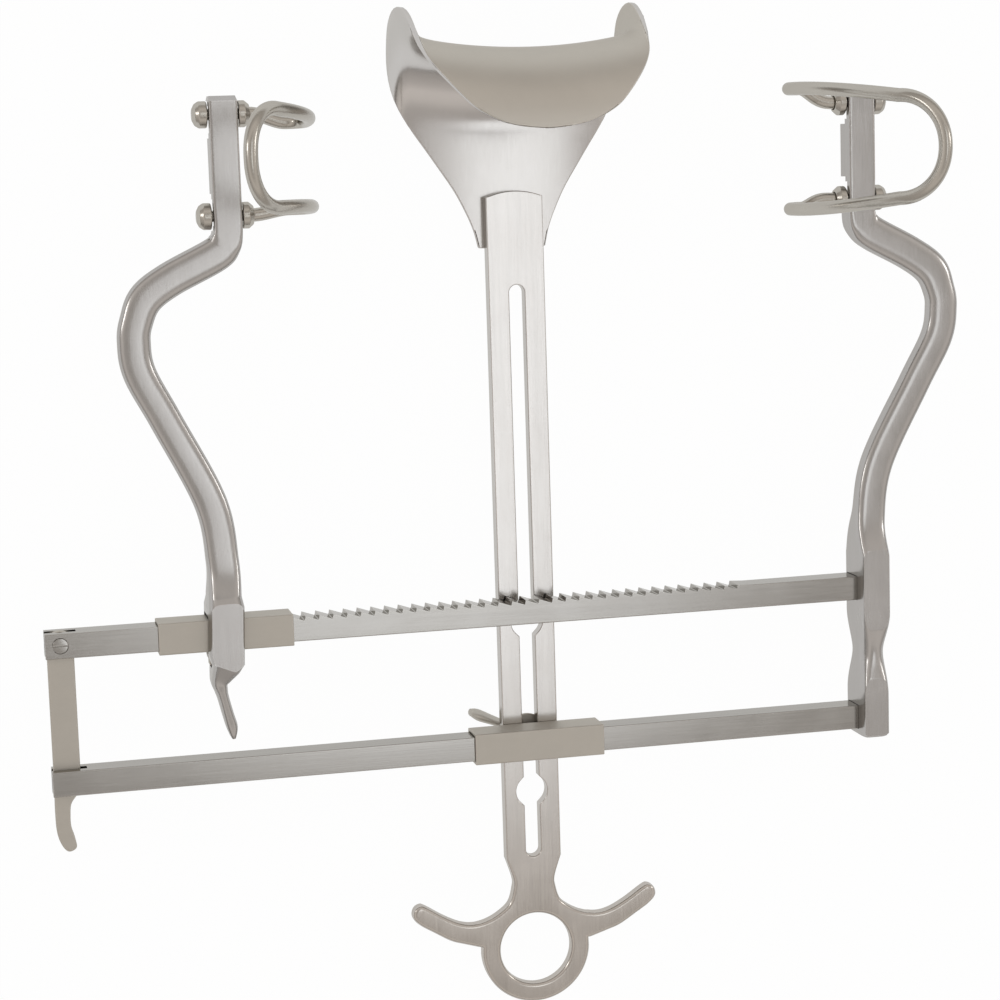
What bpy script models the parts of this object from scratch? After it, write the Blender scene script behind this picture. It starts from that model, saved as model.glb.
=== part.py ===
import math

import bmesh
import bpy
from mathutils import Matrix, Vector

# Abdominal retractor with a two-bar ratchet frame, two wire side blades and a centre blade.
# Sizes are in millimetres. X runs along the bars, Y runs from the ring handle to the blades.
# Z points the way the blades point. The bars' lower edge is Y 0 and their front face is Z 0.

# Frame bars
BAR_H = 8.0
BAR_T = 9.0
BAR_GAP = 44.0
BAR_SEAT = 3.0
RACK_PITCH = 4.5
RACK_DEPTH = 1.4
RACK_LAST = 69.4
RACK_TEETH = 42
FIT = 0.3
SLIDE = 0.2

# Gate link and its screw
GATE_T = 2.5
GATE_W = 8.4
GATE_X = -151.7
GATE_Y = 4.1
GATE_FRONT = -3.0
BAR_PAST = 0.5
FORK_PAST = 1.4
SLOT_PAST = 2.6
HOOK_DROP = 18.6
SCREW_R = 2.4
SCREW_SHANK_R = 1.6
SCREW_HEAD_T = 1.5

# Fixed arm post and the arms
POST_X = 115.8
POST_W = 9.4
POST_FRONT = 5.0
POST_BACK = -11.2
POST_TOP = 15.0
POST_FOOT = 2.4
POST_OVER = 4.3
PAD_CROWN = 0.8
WAIST_W = 7.5
ARM_W = 10.4
ARM_T = 8.8
ARM_FRONT = 0.0
ARM_BULGE = 26.4
ARM_BULGE_Y = 96.5
NECK_Y = 130.5
NECK_R = 8.4
NECK_TURN = 64.0
BOW_RUN = 12.0
TOP_W = 9.0
TOP_Y = 169.7
TOP_LEFT = 171.9
HEAD_LIFT = 1.5
FIXED_TOP_IN = 1.1
NOTCH_H = 11.4
NOTCH_DEEP = 6.3
NOTCH_Y = 134.7
NOTCH_STEP = 28.5

# One finger wing's edge, as shares of the wings' reach and of the ring's radius
FINGER_WING = (0.205, 0.87), (0.285, 0.72), (0.4, 0.63), (0.55, 0.63), (0.7, 0.8), (0.83, 1.0)
FINGER_WING += (0.9, 1.07), (0.97, 1.03), (1.0, 0.88), (0.97, 0.74), (0.84, 0.5), (0.7, 0.31), (0.57, 0.19)

# The bow's shape, as shares of its height and of its bulge, up to the bulge and on to the neck
BOW_RISE = (0.0, -0.015), (0.27, 0.12), (0.64, 0.63), (0.856, 0.936), (1.0, 1.0)
BOW_FALL = (0.19, 0.966), (0.39, 0.855), (0.56, 0.575)

# Slider and sliding arm
SLIDER_X = -100.6
SLEEVE_LEFT = -121.3
SLEEVE_RIGHT = -78.6
SLEEVE_WALL = 0.9
BLOCK_W = 11.3
BLOCK_SHIFT = 0.5
BLOCK_FRONT = 5.6
BLOCK_BACK = -13.2
BLOCK_PLAY = 0.9
TILT = math.radians(2.2)
SLIDE_TOP_IN = 7.3
LEVER_LEN = 24.0
PIVOT_X = -103.4
PIVOT_R = 1.0
PIVOT_DROP = 3.0
LUG_W = 3.9
LUG_T = 4.0
PAWL_W = 3.0
PAWL_T = 4.0
PAWL_BITE = 0.5
PAWL_SWING = 1.9
WINDOW_PLAY = 0.5

# Wire side blades
WIRE_R = 2.1
PIN_R = 1.75
PIN_SPAN = 31.2
PIN_MID_Y = 149.9
PIN_SAG_RIGHT = 1.1
PIN_SAG_LEFT = -0.75
KNOB_R = 4.15
KNOB_LEN = 4.6
COLLAR_LEN = 3.6
REACH = 25.1
BEND_R = 5.4
BLADE_DEPTH = 64.5
BLADE_OUT_RIGHT = 1.8
BLADE_OUT_LEFT = 0.0
SPREAD_RIGHT = 19.3
TOE_RIGHT = 15.6
SPREAD_LEFT = 13.2
TOE_LEFT = 13.2
BLADE_RISE_LEFT = 3.0

# Clamp, wing screw and washer
CLAMP_X = 0.6
CLAMP_L = 43.2
CLAMP_WALL = 0.9
STEM_R = 2.25
HUB_R = 4.6
HUB_T = 4.0
WASHER_R = 7.0
WASHER_T = 1.2
WING_SPAN = 18.6
WING_T = 3.4
WING_H = 11.0
WING_TURN = math.radians(158.0)

# Shank with the ring handle
SHANK_W = 18.7
SHANK_T = 4.5
SHANK_TOP = 139.5
SLOT_W = 5.1
SLOT_TOP = 109.4
SLOT_END = -80.6
KEY_D = 10.5
KEY_UPPER = -1.0
KEY_LOWER = -58.2
RING_Y = -112.4
RING_R = 18.4
RING_BORE = 24.2
NECK_W = 14.4
WING_REACH = 41.6

# Centre blade
SHEET_T = 1.6
TONGUE_Y = 121.0
ARCH_R = 24.6
ARCH_Y = 158.8
BLADE_HALF = 37.6
BOW_UP = 14.0
BOW_BACK = 12.0
BOW_SOFT = 0.3

# The sheet's edge: a share of the way up the back or round the arch, and how far across it lies
EDGE_BACK = (0.16, 0.25), (0.32, 0.305), (0.48, 0.375), (0.64, 0.47), (0.8, 0.58), (0.95, 0.7)
EDGE_ARCH = (0.0, 0.74), (0.127, 0.92), (0.255, 0.98), (0.38, 1.0), (0.555, 1.0), (0.66, 0.95)
EDGE_ARCH += (0.73, 0.85), (0.825, 0.7), (0.88, 0.6), (0.93, 0.5), (0.96, 0.4), (0.98, 0.3), (0.993, 0.17)

# Finishes: base colour and roughness
BAR_STEEL = (0.56, 0.55, 0.53), 0.34
SATIN_STEEL = (0.6, 0.59, 0.57), 0.3
WARM_STEEL = (0.53, 0.5, 0.46), 0.28

MM = 0.001
PLAIN_Y = -BAR_GAP
BARS_LEFT = GATE_X - GATE_W / 2 - BAR_PAST
SLEEVE_FRONT = SLIDE + SLEEVE_WALL
SLEEVE_BACK = -BAR_T - SLIDE - SLEEVE_WALL
CLAMP_BACK = -BAR_T - SLIDE - CLAMP_WALL
SHANK_FRONT = CLAMP_BACK - FIT
SHANK_BACK = SHANK_FRONT - SHANK_T
PIN_Z = ARM_FRONT - (ARM_T - NOTCH_DEEP) - PIN_R - FIT


def material(name, colour, rough):
    mat = bpy.data.materials.new(name)
    mat.use_nodes = True
    shader = mat.node_tree.nodes["Principled BSDF"]
    shader.inputs["Base Color"].default_value = (*colour, 1.0)
    shader.inputs["Metallic"].default_value = 1.0
    shader.inputs["Roughness"].default_value = rough
    mat.diffuse_color = (*colour, 1.0)
    return mat


def solid(name, bm, finish=BAR_STEEL):
    bmesh.ops.recalc_face_normals(bm, faces=bm.faces)
    mesh = bpy.data.meshes.new(name)
    bm.to_mesh(mesh)
    bm.free()
    mesh.transform(Matrix.Scale(MM, 4))
    obj = bpy.data.objects.new(name, mesh)
    bpy.context.collection.objects.link(obj)
    mesh.materials.append(material(name, *finish))
    mesh.shade_smooth()
    mesh.set_sharp_from_angle(angle=math.radians(32))
    return obj


def loft(bm, rings, closed=False):
    loops = [[bm.verts.new(p) for p in ring] for ring in rings]
    pairs = list(zip(loops, loops[1:]))
    if closed:
        pairs.append((loops[-1], loops[0]))
    for a, b in pairs:
        for i in range(len(a)):
            j = (i + 1) % len(a)
            bm.faces.new((a[i], a[j], b[j], b[i]))
    if not closed:
        bm.faces.new(loops[0][::-1])
        bm.faces.new(loops[-1])
    return loops


def plate(outline, back, front):
    bm = bmesh.new()
    loft(bm, [[Vector((x, y, z)) for x, y in outline] for z in (back, front)])
    return bm


def block(low, high, bevel=0.0):
    bm = bmesh.new()
    size = Vector(high) - Vector(low)
    middle = (Vector(high) + Vector(low)) / 2
    place = Matrix.Translation(middle) @ Matrix.Diagonal((*size, 1.0))
    bmesh.ops.create_cube(bm, size=1.0, matrix=place)
    if bevel:
        bmesh.ops.bevel(bm, geom=bm.edges[:], offset=bevel, segments=1, affect="EDGES")
    return bm


def turned(profile, centre, axis="Z", sides=20):
    # A closed profile of radius and height pairs, turned about an axis through centre.
    bm = bmesh.new()
    turn = {"Z": Matrix(), "X": Matrix.Rotation(math.radians(90), 4, "Y")}[axis]
    rings = []
    for k in range(sides):
        a = 2 * math.pi * k / sides
        ring = [Vector((r * math.cos(a), r * math.sin(a), h)) for r, h in profile]
        rings.append([Vector(centre) + turn @ p for p in ring])
    if min(r for r, h in profile) > 0:
        loft(bm, rings, closed=True)
    else:
        tips = [bm.verts.new(rings[0][i]) for i in (0, -1)]
        walls = [[bm.verts.new(p) for p in ring[1:-1]] for ring in rings]
        for a, b in zip(walls, walls[1:] + walls[:1]):
            bm.faces.new((tips[0], b[0], a[0]))
            bm.faces.new((tips[1], a[-1], b[-1]))
            for i in range(len(a) - 1):
                bm.faces.new((a[i], b[i], b[i + 1], a[i + 1]))
    return bm


def arc(cx, cy, radius, start, end, steps):
    # Points along a circle from one angle to another, in degrees.
    points = []
    for k in range(steps + 1):
        a = math.radians(start + (end - start) * k / steps)
        points.append((cx + radius * math.cos(a), cy + radius * math.sin(a)))
    return points


def spline(points, per_span):
    # A smooth curve through every control row, which may hold any number of values.
    rows = [points[0]] + list(points) + [points[-1]]
    curve = []
    for p0, p1, p2, p3 in zip(rows, rows[1:], rows[2:], rows[3:]):
        for k in range(per_span):
            t = k / per_span
            row = []
            for a, b, c, d in zip(p0, p1, p2, p3):
                bend = (2 * a - 5 * b + 4 * c - d) * t * t + (3 * b - a - 3 * c + d) * t**3
                row.append(0.5 * (2 * b + (c - a) * t + bend))
            curve.append(tuple(row))
    curve.append(tuple(points[-1]))
    return curve


def section(half, front, back, edge_front, edge_back, points=8):
    # A closed section across an arm: flat where its edge value is high, round where it is low.
    mid = (front + back) / 2
    ring = []
    for side, edge, reach in ((1, edge_front, front - mid), (-1, edge_back, mid - back)):
        for k in range(points):
            a = math.pi * k / points if side > 0 else math.pi * (1 + k / points)
            c, s = math.cos(a), math.sin(a)
            u = math.copysign(abs(c) ** (2 / edge), c)
            v = math.copysign(abs(s) ** (2 / edge), s)
            ring.append((half * u, mid + reach * v))
    return ring


def swept(bm, rows, side, x0):
    # Each row: height, outward offset, half width, front, back, front edge, back edge.
    rings = []
    for i, (y, u, half, front, back, ef, eb) in enumerate(rows):
        before, after = rows[max(i - 1, 0)], rows[min(i + 1, len(rows) - 1)]
        run = Vector((after[1] - before[1], after[0] - before[0])).normalized()
        ring = []
        for w, z in section(half, front, back, ef, eb):
            ring.append(Vector((x0 + side * (u + w * run.y), y - w * run.x, z)))
        rings.append(ring)
    loft(bm, rings)


def tube(points, radius, sides=10):
    bm = bmesh.new()
    rings = []
    up = None
    for i, p in enumerate(points):
        ahead = points[min(i + 1, len(points) - 1)] - points[max(i - 1, 0)]
        ahead.normalize()
        if up is None:
            up = ahead.orthogonal().normalized()
        up = (up - ahead * up.dot(ahead)).normalized()
        over = ahead.cross(up)
        r = radius(i) if callable(radius) else radius
        angles = [2 * math.pi * k / sides for k in range(sides)]
        rings.append([p + r * (math.cos(a) * up + math.sin(a) * over) for a in angles])
    loft(bm, rings)
    return bm


def cut(obj, bm, name):
    tool = solid(name, bm)
    tool.hide_render = True
    tool.display_type = "WIRE"
    tool.parent = root
    step = obj.modifiers.new(name, "BOOLEAN")
    step.operation = "DIFFERENCE"
    step.solver = "EXACT"
    step.object = tool
    return tool


def join(obj, bm, name):
    tool = cut(obj, bm, name)
    obj.modifiers[name].operation = "UNION"
    return tool


def seat(obj, parent, at=(0.0, 0.0, 0.0)):
    # Puts the object's origin at a point of the frame and parents it.
    point = Vector(at) * MM
    obj.data.transform(Matrix.Translation(-point))
    obj.parent = parent
    above = Vector()
    walk = parent
    while walk is not None and walk is not root:
        above += walk.location
        walk = walk.parent
    obj.location = point - above
    return obj


def ratchet_bar():
    top = BAR_H
    first = RACK_LAST - (RACK_TEETH - 1) * RACK_PITCH
    outline = [(BARS_LEFT, 0.8), (BARS_LEFT + 0.8, 0.0)]
    outline += [(POST_X - POST_W / 2 + BAR_SEAT, 0.0), (POST_X - POST_W / 2 + BAR_SEAT, top)]
    outline += [(RACK_LAST + RACK_PITCH, top - RACK_DEPTH * 0.15)]
    for k in reversed(range(RACK_TEETH)):
        x = first + k * RACK_PITCH
        outline += [(x, top), (x - 0.25, top - RACK_DEPTH)]
    outline += [(first - RACK_PITCH * 0.6, top), (BARS_LEFT + 0.8, top), (BARS_LEFT, top - 0.8)]
    bar = solid("ratchet_bar", plate(outline, -BAR_T, 0.0))
    slot = block(
        (BARS_LEFT - 1, -1, GATE_FRONT - GATE_T - FIT),
        (BARS_LEFT + GATE_W + FORK_PAST, top + 1, GATE_FRONT + FIT),
    )
    cut(bar, slot, "fork_slot")
    bore = [(0, 1), (SCREW_R + FIT, 1), (SCREW_R + FIT, -SCREW_HEAD_T - FIT)]
    bore += [(SCREW_SHANK_R + FIT, -SCREW_HEAD_T - FIT), (SCREW_SHANK_R + FIT, -BAR_T - 1), (0, -BAR_T - 1)]
    cut(bar, turned(bore, (GATE_X, GATE_Y, 0)), "screw_bore")
    return bar


def plain_bar():
    right = POST_X - POST_W / 2 + BAR_SEAT
    low = (BARS_LEFT, PLAIN_Y, -BAR_T)
    bar = solid("plain_bar", block(low, (right, PLAIN_Y + BAR_H, 0.0), 0.35))
    slot = block(
        (BARS_LEFT - 1, PLAIN_Y - 1, GATE_FRONT - GATE_T - FIT),
        (BARS_LEFT + GATE_W + SLOT_PAST, PLAIN_Y + BAR_H + 1, GATE_FRONT + FIT),
    )
    cut(bar, slot, "gate_slot")
    return bar


def gate_link():
    # A flat link with a round head on the screw and a thumb hook below the plain bar.
    left, right = GATE_X - GATE_W / 2, GATE_X + GATE_W / 2
    outline = arc(GATE_X, GATE_Y, GATE_W / 2, 0, 180, 12)
    outline += [(left, PLAIN_Y + BAR_H)]
    # Shares of the link's width and of the hook's drop, down the outside and back up the inside.
    hook = [(0.0, -0.2), (0.0, 0.35), (0.06, 0.68), (0.24, 0.9), (0.46, 1.0), (0.74, 0.93)]
    hook += [(0.72, 0.78), (0.6, 0.57), (0.575, 0.38), (0.62, 0.17), (0.88, 0.0), (1.0, -0.12)]
    hook = [(left + u * GATE_W, PLAIN_Y - v * HOOK_DROP) for u, v in hook]
    outline += spline(hook, 3) + [(right, PLAIN_Y + BAR_H)]
    link = solid("gate_link", plate(outline, GATE_FRONT - GATE_T, GATE_FRONT), WARM_STEEL)
    bore = [(0, 2), (SCREW_SHANK_R + FIT, 2), (SCREW_SHANK_R + FIT, -BAR_T), (0, -BAR_T)]
    cut(link, turned(bore, (GATE_X, GATE_Y, 0)), "link_bore")
    return link


def gate_screw():
    profile = [(0, 0.1), (SCREW_R, 0.1), (SCREW_R, -SCREW_HEAD_T)]
    profile += [(SCREW_SHANK_R, -SCREW_HEAD_T), (SCREW_SHANK_R, -BAR_T), (0, -BAR_T)]
    screw = solid("gate_screw", turned(profile, (GATE_X, GATE_Y, 0)), SATIN_STEEL)
    cut(screw, block((GATE_X - 4, GATE_Y - 0.35, -0.6), (GATE_X + 4, GATE_Y + 0.35, 1)), "driver_slot")
    return screw


def arm_curve(top_in, turn_by, centre):
    # The bowed part, from above the block to the neck, as height and outward offset.
    start = POST_TOP + BOW_RUN
    rise, fall = ARM_BULGE_Y - start, NECK_Y - ARM_BULGE_Y
    bow = [(start + v * rise, u * ARM_BULGE) for v, u in BOW_RISE]
    bow += [(ARM_BULGE_Y + v * fall, u * ARM_BULGE) for v, u in BOW_FALL]
    rows = []
    for y, u in bow:
        swing = Matrix.Rotation(turn_by, 2) @ Vector((u, y - centre))
        rows.append((swing.y + centre, swing.x))
    for share in (1.0, 0.5, 0.0):
        a = math.radians(NECK_TURN * share)
        rows.append((NECK_Y - NECK_R * math.sin(a), NECK_R * (1 - math.cos(a)) - top_in))
    rows.append((NOTCH_Y + NOTCH_H / 2, -top_in))
    return rows


def arm_rows(lower, curve, top_in, top):
    w, f, b = ARM_W / 2, ARM_FRONT, ARM_FRONT - ARM_T
    rows = list(lower)
    c = b + 1.0
    shape = [(w - 0.4, f + 1.6, b, 5, 2.6), (w - 0.3, f + 0.3, c, 4, 2.4)]
    shape += [(w - 0.2, f, c, 3.6, 2.3), (w - 0.1, f, c, 3.4, 2.2), (w, f, c, 3.4, 2.2)]
    shape += [(w, f, c, 3.4, 2.2), (w, f, c, 3.4, 2.2), (w, f, c, 3.4, 2.3)]
    shape += [(w, f, c, 3.6, 2.6), (w - 0.2, f, b, 5, 4), (TOP_W / 2, f, b, 12, 12)]
    shape += [(TOP_W / 2, f, b, 12, 12)]
    rows += [(y, u, *s) for (y, u), s in zip(curve, shape)]
    smooth = spline(rows, 4)
    t = TOP_W / 2
    smooth += [(top - 3.0, -top_in, t, f, b, 12, 12), (top - 1.6, -top_in, t, f, b, 12, 12)]
    smooth += [(top, -top_in, t - 0.4, f - 2.2, b + 0.4, 12, 12)]
    return smooth


def notch_tools(obj, x, lift=0.0):
    for k, name in enumerate(("lower", "upper")):
        y = NOTCH_Y + lift + k * NOTCH_STEP
        low = (x - TOP_W, y - NOTCH_H / 2, ARM_FRONT - ARM_T - 3)
        high = (x + TOP_W, y + NOTCH_H / 2, ARM_FRONT - ARM_T + NOTCH_DEEP)
        bm = block(low, high)
        edges = [e for e in bm.edges if all(v.co.z > ARM_FRONT - ARM_T for v in e.verts)]
        edges = [e for e in edges if abs(e.verts[0].co.x - e.verts[1].co.x) > 1]
        bmesh.ops.bevel(bm, geom=edges, offset=1.6, segments=3, affect="EDGES")
        cut(obj, bm, obj.name + "_notch_" + name)


def pad_tool(obj, x, low, front):
    # A plane cut that leaves a flat pad in front, arched where the arm's round front drops below it.
    cut(obj, block((x - ARM_W, low - 2, front), (x + ARM_W, POST_TOP + BOW_RUN, front + 9)), obj.name + "_pad")


def fixed_arm():
    w, f, b = POST_W / 2, POST_FRONT + PAD_CROWN, POST_BACK
    low = PLAIN_Y - POST_FOOT
    rows = [(low, 0, w - 1.3, f - 1.9, b + 1.2, 6, 8), (low + 0.4, 0, w - 0.4, f - 1.1, b + 0.4, 6, 8)]
    rows += [(low + 1.4, 0, w, f, b, 6, 12)]
    rows += [(PLAIN_Y + BAR_H + POST_OVER, 0, w, f, b, 6, 12)]
    rows += [(PLAIN_Y + BAR_H + POST_OVER + 6, 0, WAIST_W / 2, f - 4.3, b + 1.4, 3, 4)]
    rows += [(-POST_OVER - 6, 0, WAIST_W / 2, f - 4.3, b + 1.4, 3, 4)]
    rows += [(-POST_OVER, 0, w, f, b, 6, 12), (POST_TOP, 0, w, f, b, 6, 12)]
    straight = []
    for a, c in zip(rows, rows[1:]):
        straight += [a] if a[2] == c[2] or len(straight) == 0 else [a] + spline([a, c], 4)[1:-1]
    rows = straight
    bm = bmesh.new()
    curve = arm_curve(FIXED_TOP_IN, 0.0, 0.0)
    upper = arm_rows([(POST_TOP, 0, w, f, b, 6, 12)], curve, FIXED_TOP_IN, TOP_Y)
    swept(bm, rows + upper, 1, POST_X)
    arm = solid("fixed_arm", bm, SATIN_STEEL)
    for name, y in (("ratchet", 0.0), ("plain", PLAIN_Y)):
        low = (POST_X - POST_W, y - FIT, -BAR_T - FIT)
        high = (POST_X - POST_W / 2 + BAR_SEAT + FIT, y + BAR_H + FIT, FIT)
        cut(arm, block(low, high), name + "_socket")
    pad_tool(arm, POST_X, PLAIN_Y - POST_FOOT, POST_FRONT)
    notch_tools(arm, POST_X - FIXED_TOP_IN)
    return arm


def slider_sleeve():
    low = (SLEEVE_LEFT, -SLIDE - SLEEVE_WALL, SLEEVE_BACK)
    high = (SLEEVE_RIGHT, BAR_H + SLIDE + SLEEVE_WALL, SLEEVE_FRONT)
    sleeve = solid("slider_sleeve", block(low, high, 0.35), WARM_STEEL)
    mid = -BAR_T / 2
    lug = block(
        (PIVOT_X - LUG_W / 2, low[1] - PIVOT_DROP - PIVOT_R - 0.9, mid - LUG_T / 2),
        (PIVOT_X + LUG_W / 2, 1.0, mid + LUG_T / 2),
        0.3,
    )
    join(sleeve, lug, "pivot_lug")
    bore = [(0, 9), (PIVOT_R + FIT, 9), (PIVOT_R + FIT, -20), (0, -20)]
    cut(sleeve, turned(bore, (PIVOT_X, low[1] - PIVOT_DROP, 0)), "lug_bore")
    hollow = block(
        (SLEEVE_LEFT - 1, -SLIDE, -BAR_T - SLIDE), (SLEEVE_RIGHT + 1, BAR_H + SLIDE, SLIDE)
    )
    cut(sleeve, hollow, "sleeve_hollow")
    x = pawl_x()
    window = block(
        (x - PAWL_W - PAWL_SWING, BAR_H - 1, mid - PAWL_T / 2 - WINDOW_PLAY),
        (x + FIT + WINDOW_PLAY, high[1] + 2, mid + PAWL_T / 2 + WINDOW_PLAY),
    )
    cut(sleeve, window, "pawl_window")
    return sleeve


def pawl_x():
    # The steep flank of the pawl, just left of the rack tooth that it bears on.
    steps = math.floor((RACK_LAST - SLIDER_X - 2.6) / RACK_PITCH)
    return RACK_LAST - steps * RACK_PITCH - FIT


def sliding_arm():
    w, f, b, e = BLOCK_W / 2, BLOCK_FRONT + PAD_CROWN, BLOCK_BACK, -BLOCK_SHIFT
    floor = -SLIDE - SLEEVE_WALL
    tip = floor - 5.0 - LEVER_LEN
    rows = [(tip, -3.0, 0.5, -1.2, -5.0, 3, 3), (tip + 1.5, -2.8, 0.95, -0.5, -5.6, 3, 3)]
    rows += [(tip + 4.0, -2.3, 1.5, 0.1, -6.4, 3, 3), (tip + 8.0, -1.2, 1.45, 0.7, -7.4, 3, 3)]
    rows += [(tip + 13.0, 0.1, 1.55, 1.5, -8.4, 3, 3), (tip + 16.0, 0.8, 1.9, 2.0, -9.0, 3, 3)]
    rows += [(tip + 19.0, 1.2, 2.8, 2.6, -9.6, 4, 4), (floor - 5.4, e, w - 0.8, f - 0.6, b + 0.6, 7, 7)]
    lever = spline(rows, 2)
    top = BAR_H + SLIDE + SLEEVE_WALL + 3.4
    middle = [(floor - 4.3, e, w, f, b, 6, 12), (top, e, w, f, b, 6, 12)]
    upper = [(top + 0.4, e, w, f, b, 6, 12), (top + 3.5, e / 2, w - 0.4, f - 1.5, b + 2.2, 5, 5)]
    turn = Matrix.Translation((SLIDER_X, BAR_H / 2, 0))
    turn = turn @ Matrix.Rotation(-TILT, 4, "Z") @ turn.inverted()
    curve = arm_curve(SLIDE_TOP_IN, TILT, BAR_H / 2)
    rows = lever + middle + upper
    turned_rows = []
    for y, u, *rest in rows:
        p = turn @ Vector((SLIDER_X - u, y, 0))
        turned_rows.append((p.y, SLIDER_X - p.x, *rest))
    above = arm_rows(turned_rows[-1:], curve, SLIDE_TOP_IN, TOP_LEFT)
    bm = bmesh.new()
    swept(bm, turned_rows[:-1] + above, -1, SLIDER_X)
    arm = solid("sliding_arm", bm, SATIN_STEEL)
    window = block(
        (SLIDER_X - BLOCK_W, floor - BLOCK_PLAY, SLEEVE_BACK - FIT),
        (SLIDER_X + BLOCK_W, BAR_H + SLIDE + SLEEVE_WALL + BLOCK_PLAY, SLEEVE_FRONT + FIT),
    )
    window.transform(turn)
    cut(arm, window, "sleeve_window")
    mid = -BAR_T / 2
    low = floor - PIVOT_DROP - PIVOT_R - 0.9 - FIT
    slot = block(
        (PIVOT_X - LUG_W / 2 - 0.9, low - 0.6, mid - LUG_T / 2 - FIT),
        (PIVOT_X + LUG_W / 2 + 0.9, 2.0, mid + LUG_T / 2 + FIT),
    )
    cut(arm, slot, "lug_slot")
    bore = [(0, 1.8), (PIVOT_R + FIT, 1.8), (PIVOT_R + FIT, -11.2), (0, -11.2)]
    cut(arm, turned(bore, (PIVOT_X, floor - PIVOT_DROP, 0)), "arm_bore")
    x = pawl_x()
    reach = BAR_H - PAWL_BITE
    slope = RACK_DEPTH / RACK_PITCH
    tooth = [(x, reach), (x, BAR_H + SLEEVE_WALL + BLOCK_PLAY + 2), (x - PAWL_W, BAR_H + SLEEVE_WALL + BLOCK_PLAY + 2)]
    tooth += [(x - PAWL_W, reach + slope * PAWL_W + 0.1)]
    join(arm, plate(tooth, mid - PAWL_T / 2, mid + PAWL_T / 2), "pawl")
    pad_tool(arm, SLIDER_X, floor - LEVER_LEN, BLOCK_FRONT)
    notch_tools(arm, SLIDER_X + SLIDE_TOP_IN, HEAD_LIFT)
    return arm


def arm_pin():
    floor = -SLIDE - SLEEVE_WALL
    profile = [(0, 1.5), (PIVOT_R - 0.2, 1.5), (PIVOT_R, 1.3), (PIVOT_R, -10.7), (PIVOT_R - 0.2, -10.9), (0, -10.9)]
    return solid("arm_pin", turned(profile, (PIVOT_X, floor - PIVOT_DROP, 0), sides=14), SATIN_STEEL)


def blade_path(side, x, mid, spread, toe, out, flat):
    # Half of the wire, from inside the outer knob to the middle of the toe.
    def place(r, h, z):
        return Vector((x - side * r, mid + h, z))

    half = PIN_SPAN / 2
    start = -TOP_W / 2 - FIT - KNOB_LEN + 1.2
    clear = TOP_W / 2 + FIT + COLLAR_LEN
    points = [(start, half, PIN_Z), (clear - 0.9, half, PIN_Z), (clear - 0.6, half, PIN_Z)]
    lead = REACH - BEND_R
    for k in range(1, 6):
        t = k / 5
        ease = t * t * (3 - 2 * t)
        points.append((clear + (lead - clear) * t, half + (spread - half) * ease, PIN_Z))
    turn = PIN_Z + BEND_R
    for k in range(1, 5):
        a = math.radians(90) * k / 4
        points.append((lead + BEND_R * math.sin(a), spread, turn - BEND_R * math.cos(a)))
    rise = BLADE_DEPTH - turn
    end = 2 * math.atan((REACH + out) / rise)
    radius = rise / math.sin(end)
    length = radius * end
    body = length - toe
    steps = 9
    for k in range(1, steps + 1):
        s = body * k / steps
        a = s / radius
        h = spread + (toe - spread) * k / steps
        points.append((REACH - radius * (1 - math.cos(a)), h, turn + radius * math.sin(a)))
    for k in range(1, 9):
        b = math.radians(90) * k / 8
        s = body + toe * math.sin(b) ** (2 / flat)
        h = toe * max(math.cos(b), 0.0) ** (2 / flat)
        a = s / radius
        points.append((REACH - radius * (1 - math.cos(a)), h, turn + radius * math.sin(a)))
    return [place(*p) for p in points]


def side_blade(name, side, x, sag, spread, toe, out, flat, rise):
    half = blade_path(side, x, PIN_MID_Y, spread, toe, out, flat)
    other = []
    for p in reversed(half[:-1]):
        other.append(Vector((p.x, 2 * PIN_MID_Y - p.y, p.z)))
    points = half + other
    last = len(points) - 1
    for i, p in enumerate(points):
        t = min(max((min(i, last - i) - 2) / 5, 0.0), 1.0)
        p.y += rise * (p.z - PIN_Z) / BLADE_DEPTH - sag * (1 - t * t * (3 - 2 * t))

    def radius(i):
        return PIN_R if min(i, last - i) < 2 else WIRE_R

    return solid(name, tube(points, radius), WARM_STEEL)


def knob(name, side, x, y):
    # The outer knob: a domed cap with a blind bore for the pin.
    near = TOP_W / 2 + FIT
    far = near + KNOB_LEN
    bore = PIN_R + SLIDE
    profile = [(0, far - 1.0), (bore, far - 1.0), (bore, near), (KNOB_R - 0.3, near), (KNOB_R, near + 0.3)]
    profile += [(KNOB_R, far - 2.1), (KNOB_R * 0.8, far - 0.8), (KNOB_R * 0.42, far), (0, far)]
    profile = [(r, -side * -h) for r, h in profile]
    return solid(name, turned(profile, (x, y, PIN_Z), "X", 16), WARM_STEEL)


def collar(name, side, x, y):
    # The inner collar: a ring that tapers onto the wire.
    near = TOP_W / 2 + FIT
    bore = WIRE_R + SLIDE
    far = near + COLLAR_LEN
    profile = [(PIN_R + SLIDE, near), (KNOB_R, near), (KNOB_R, far - 1.5), (bore + 0.6, far), (bore, far)]
    profile += [(bore, far - 1.3), (PIN_R + SLIDE, far - 1.3)]
    profile = [(r, side * -h) for r, h in profile]
    return solid(name, turned(profile, (x, y, PIN_Z), "X", 16), WARM_STEEL)


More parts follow.
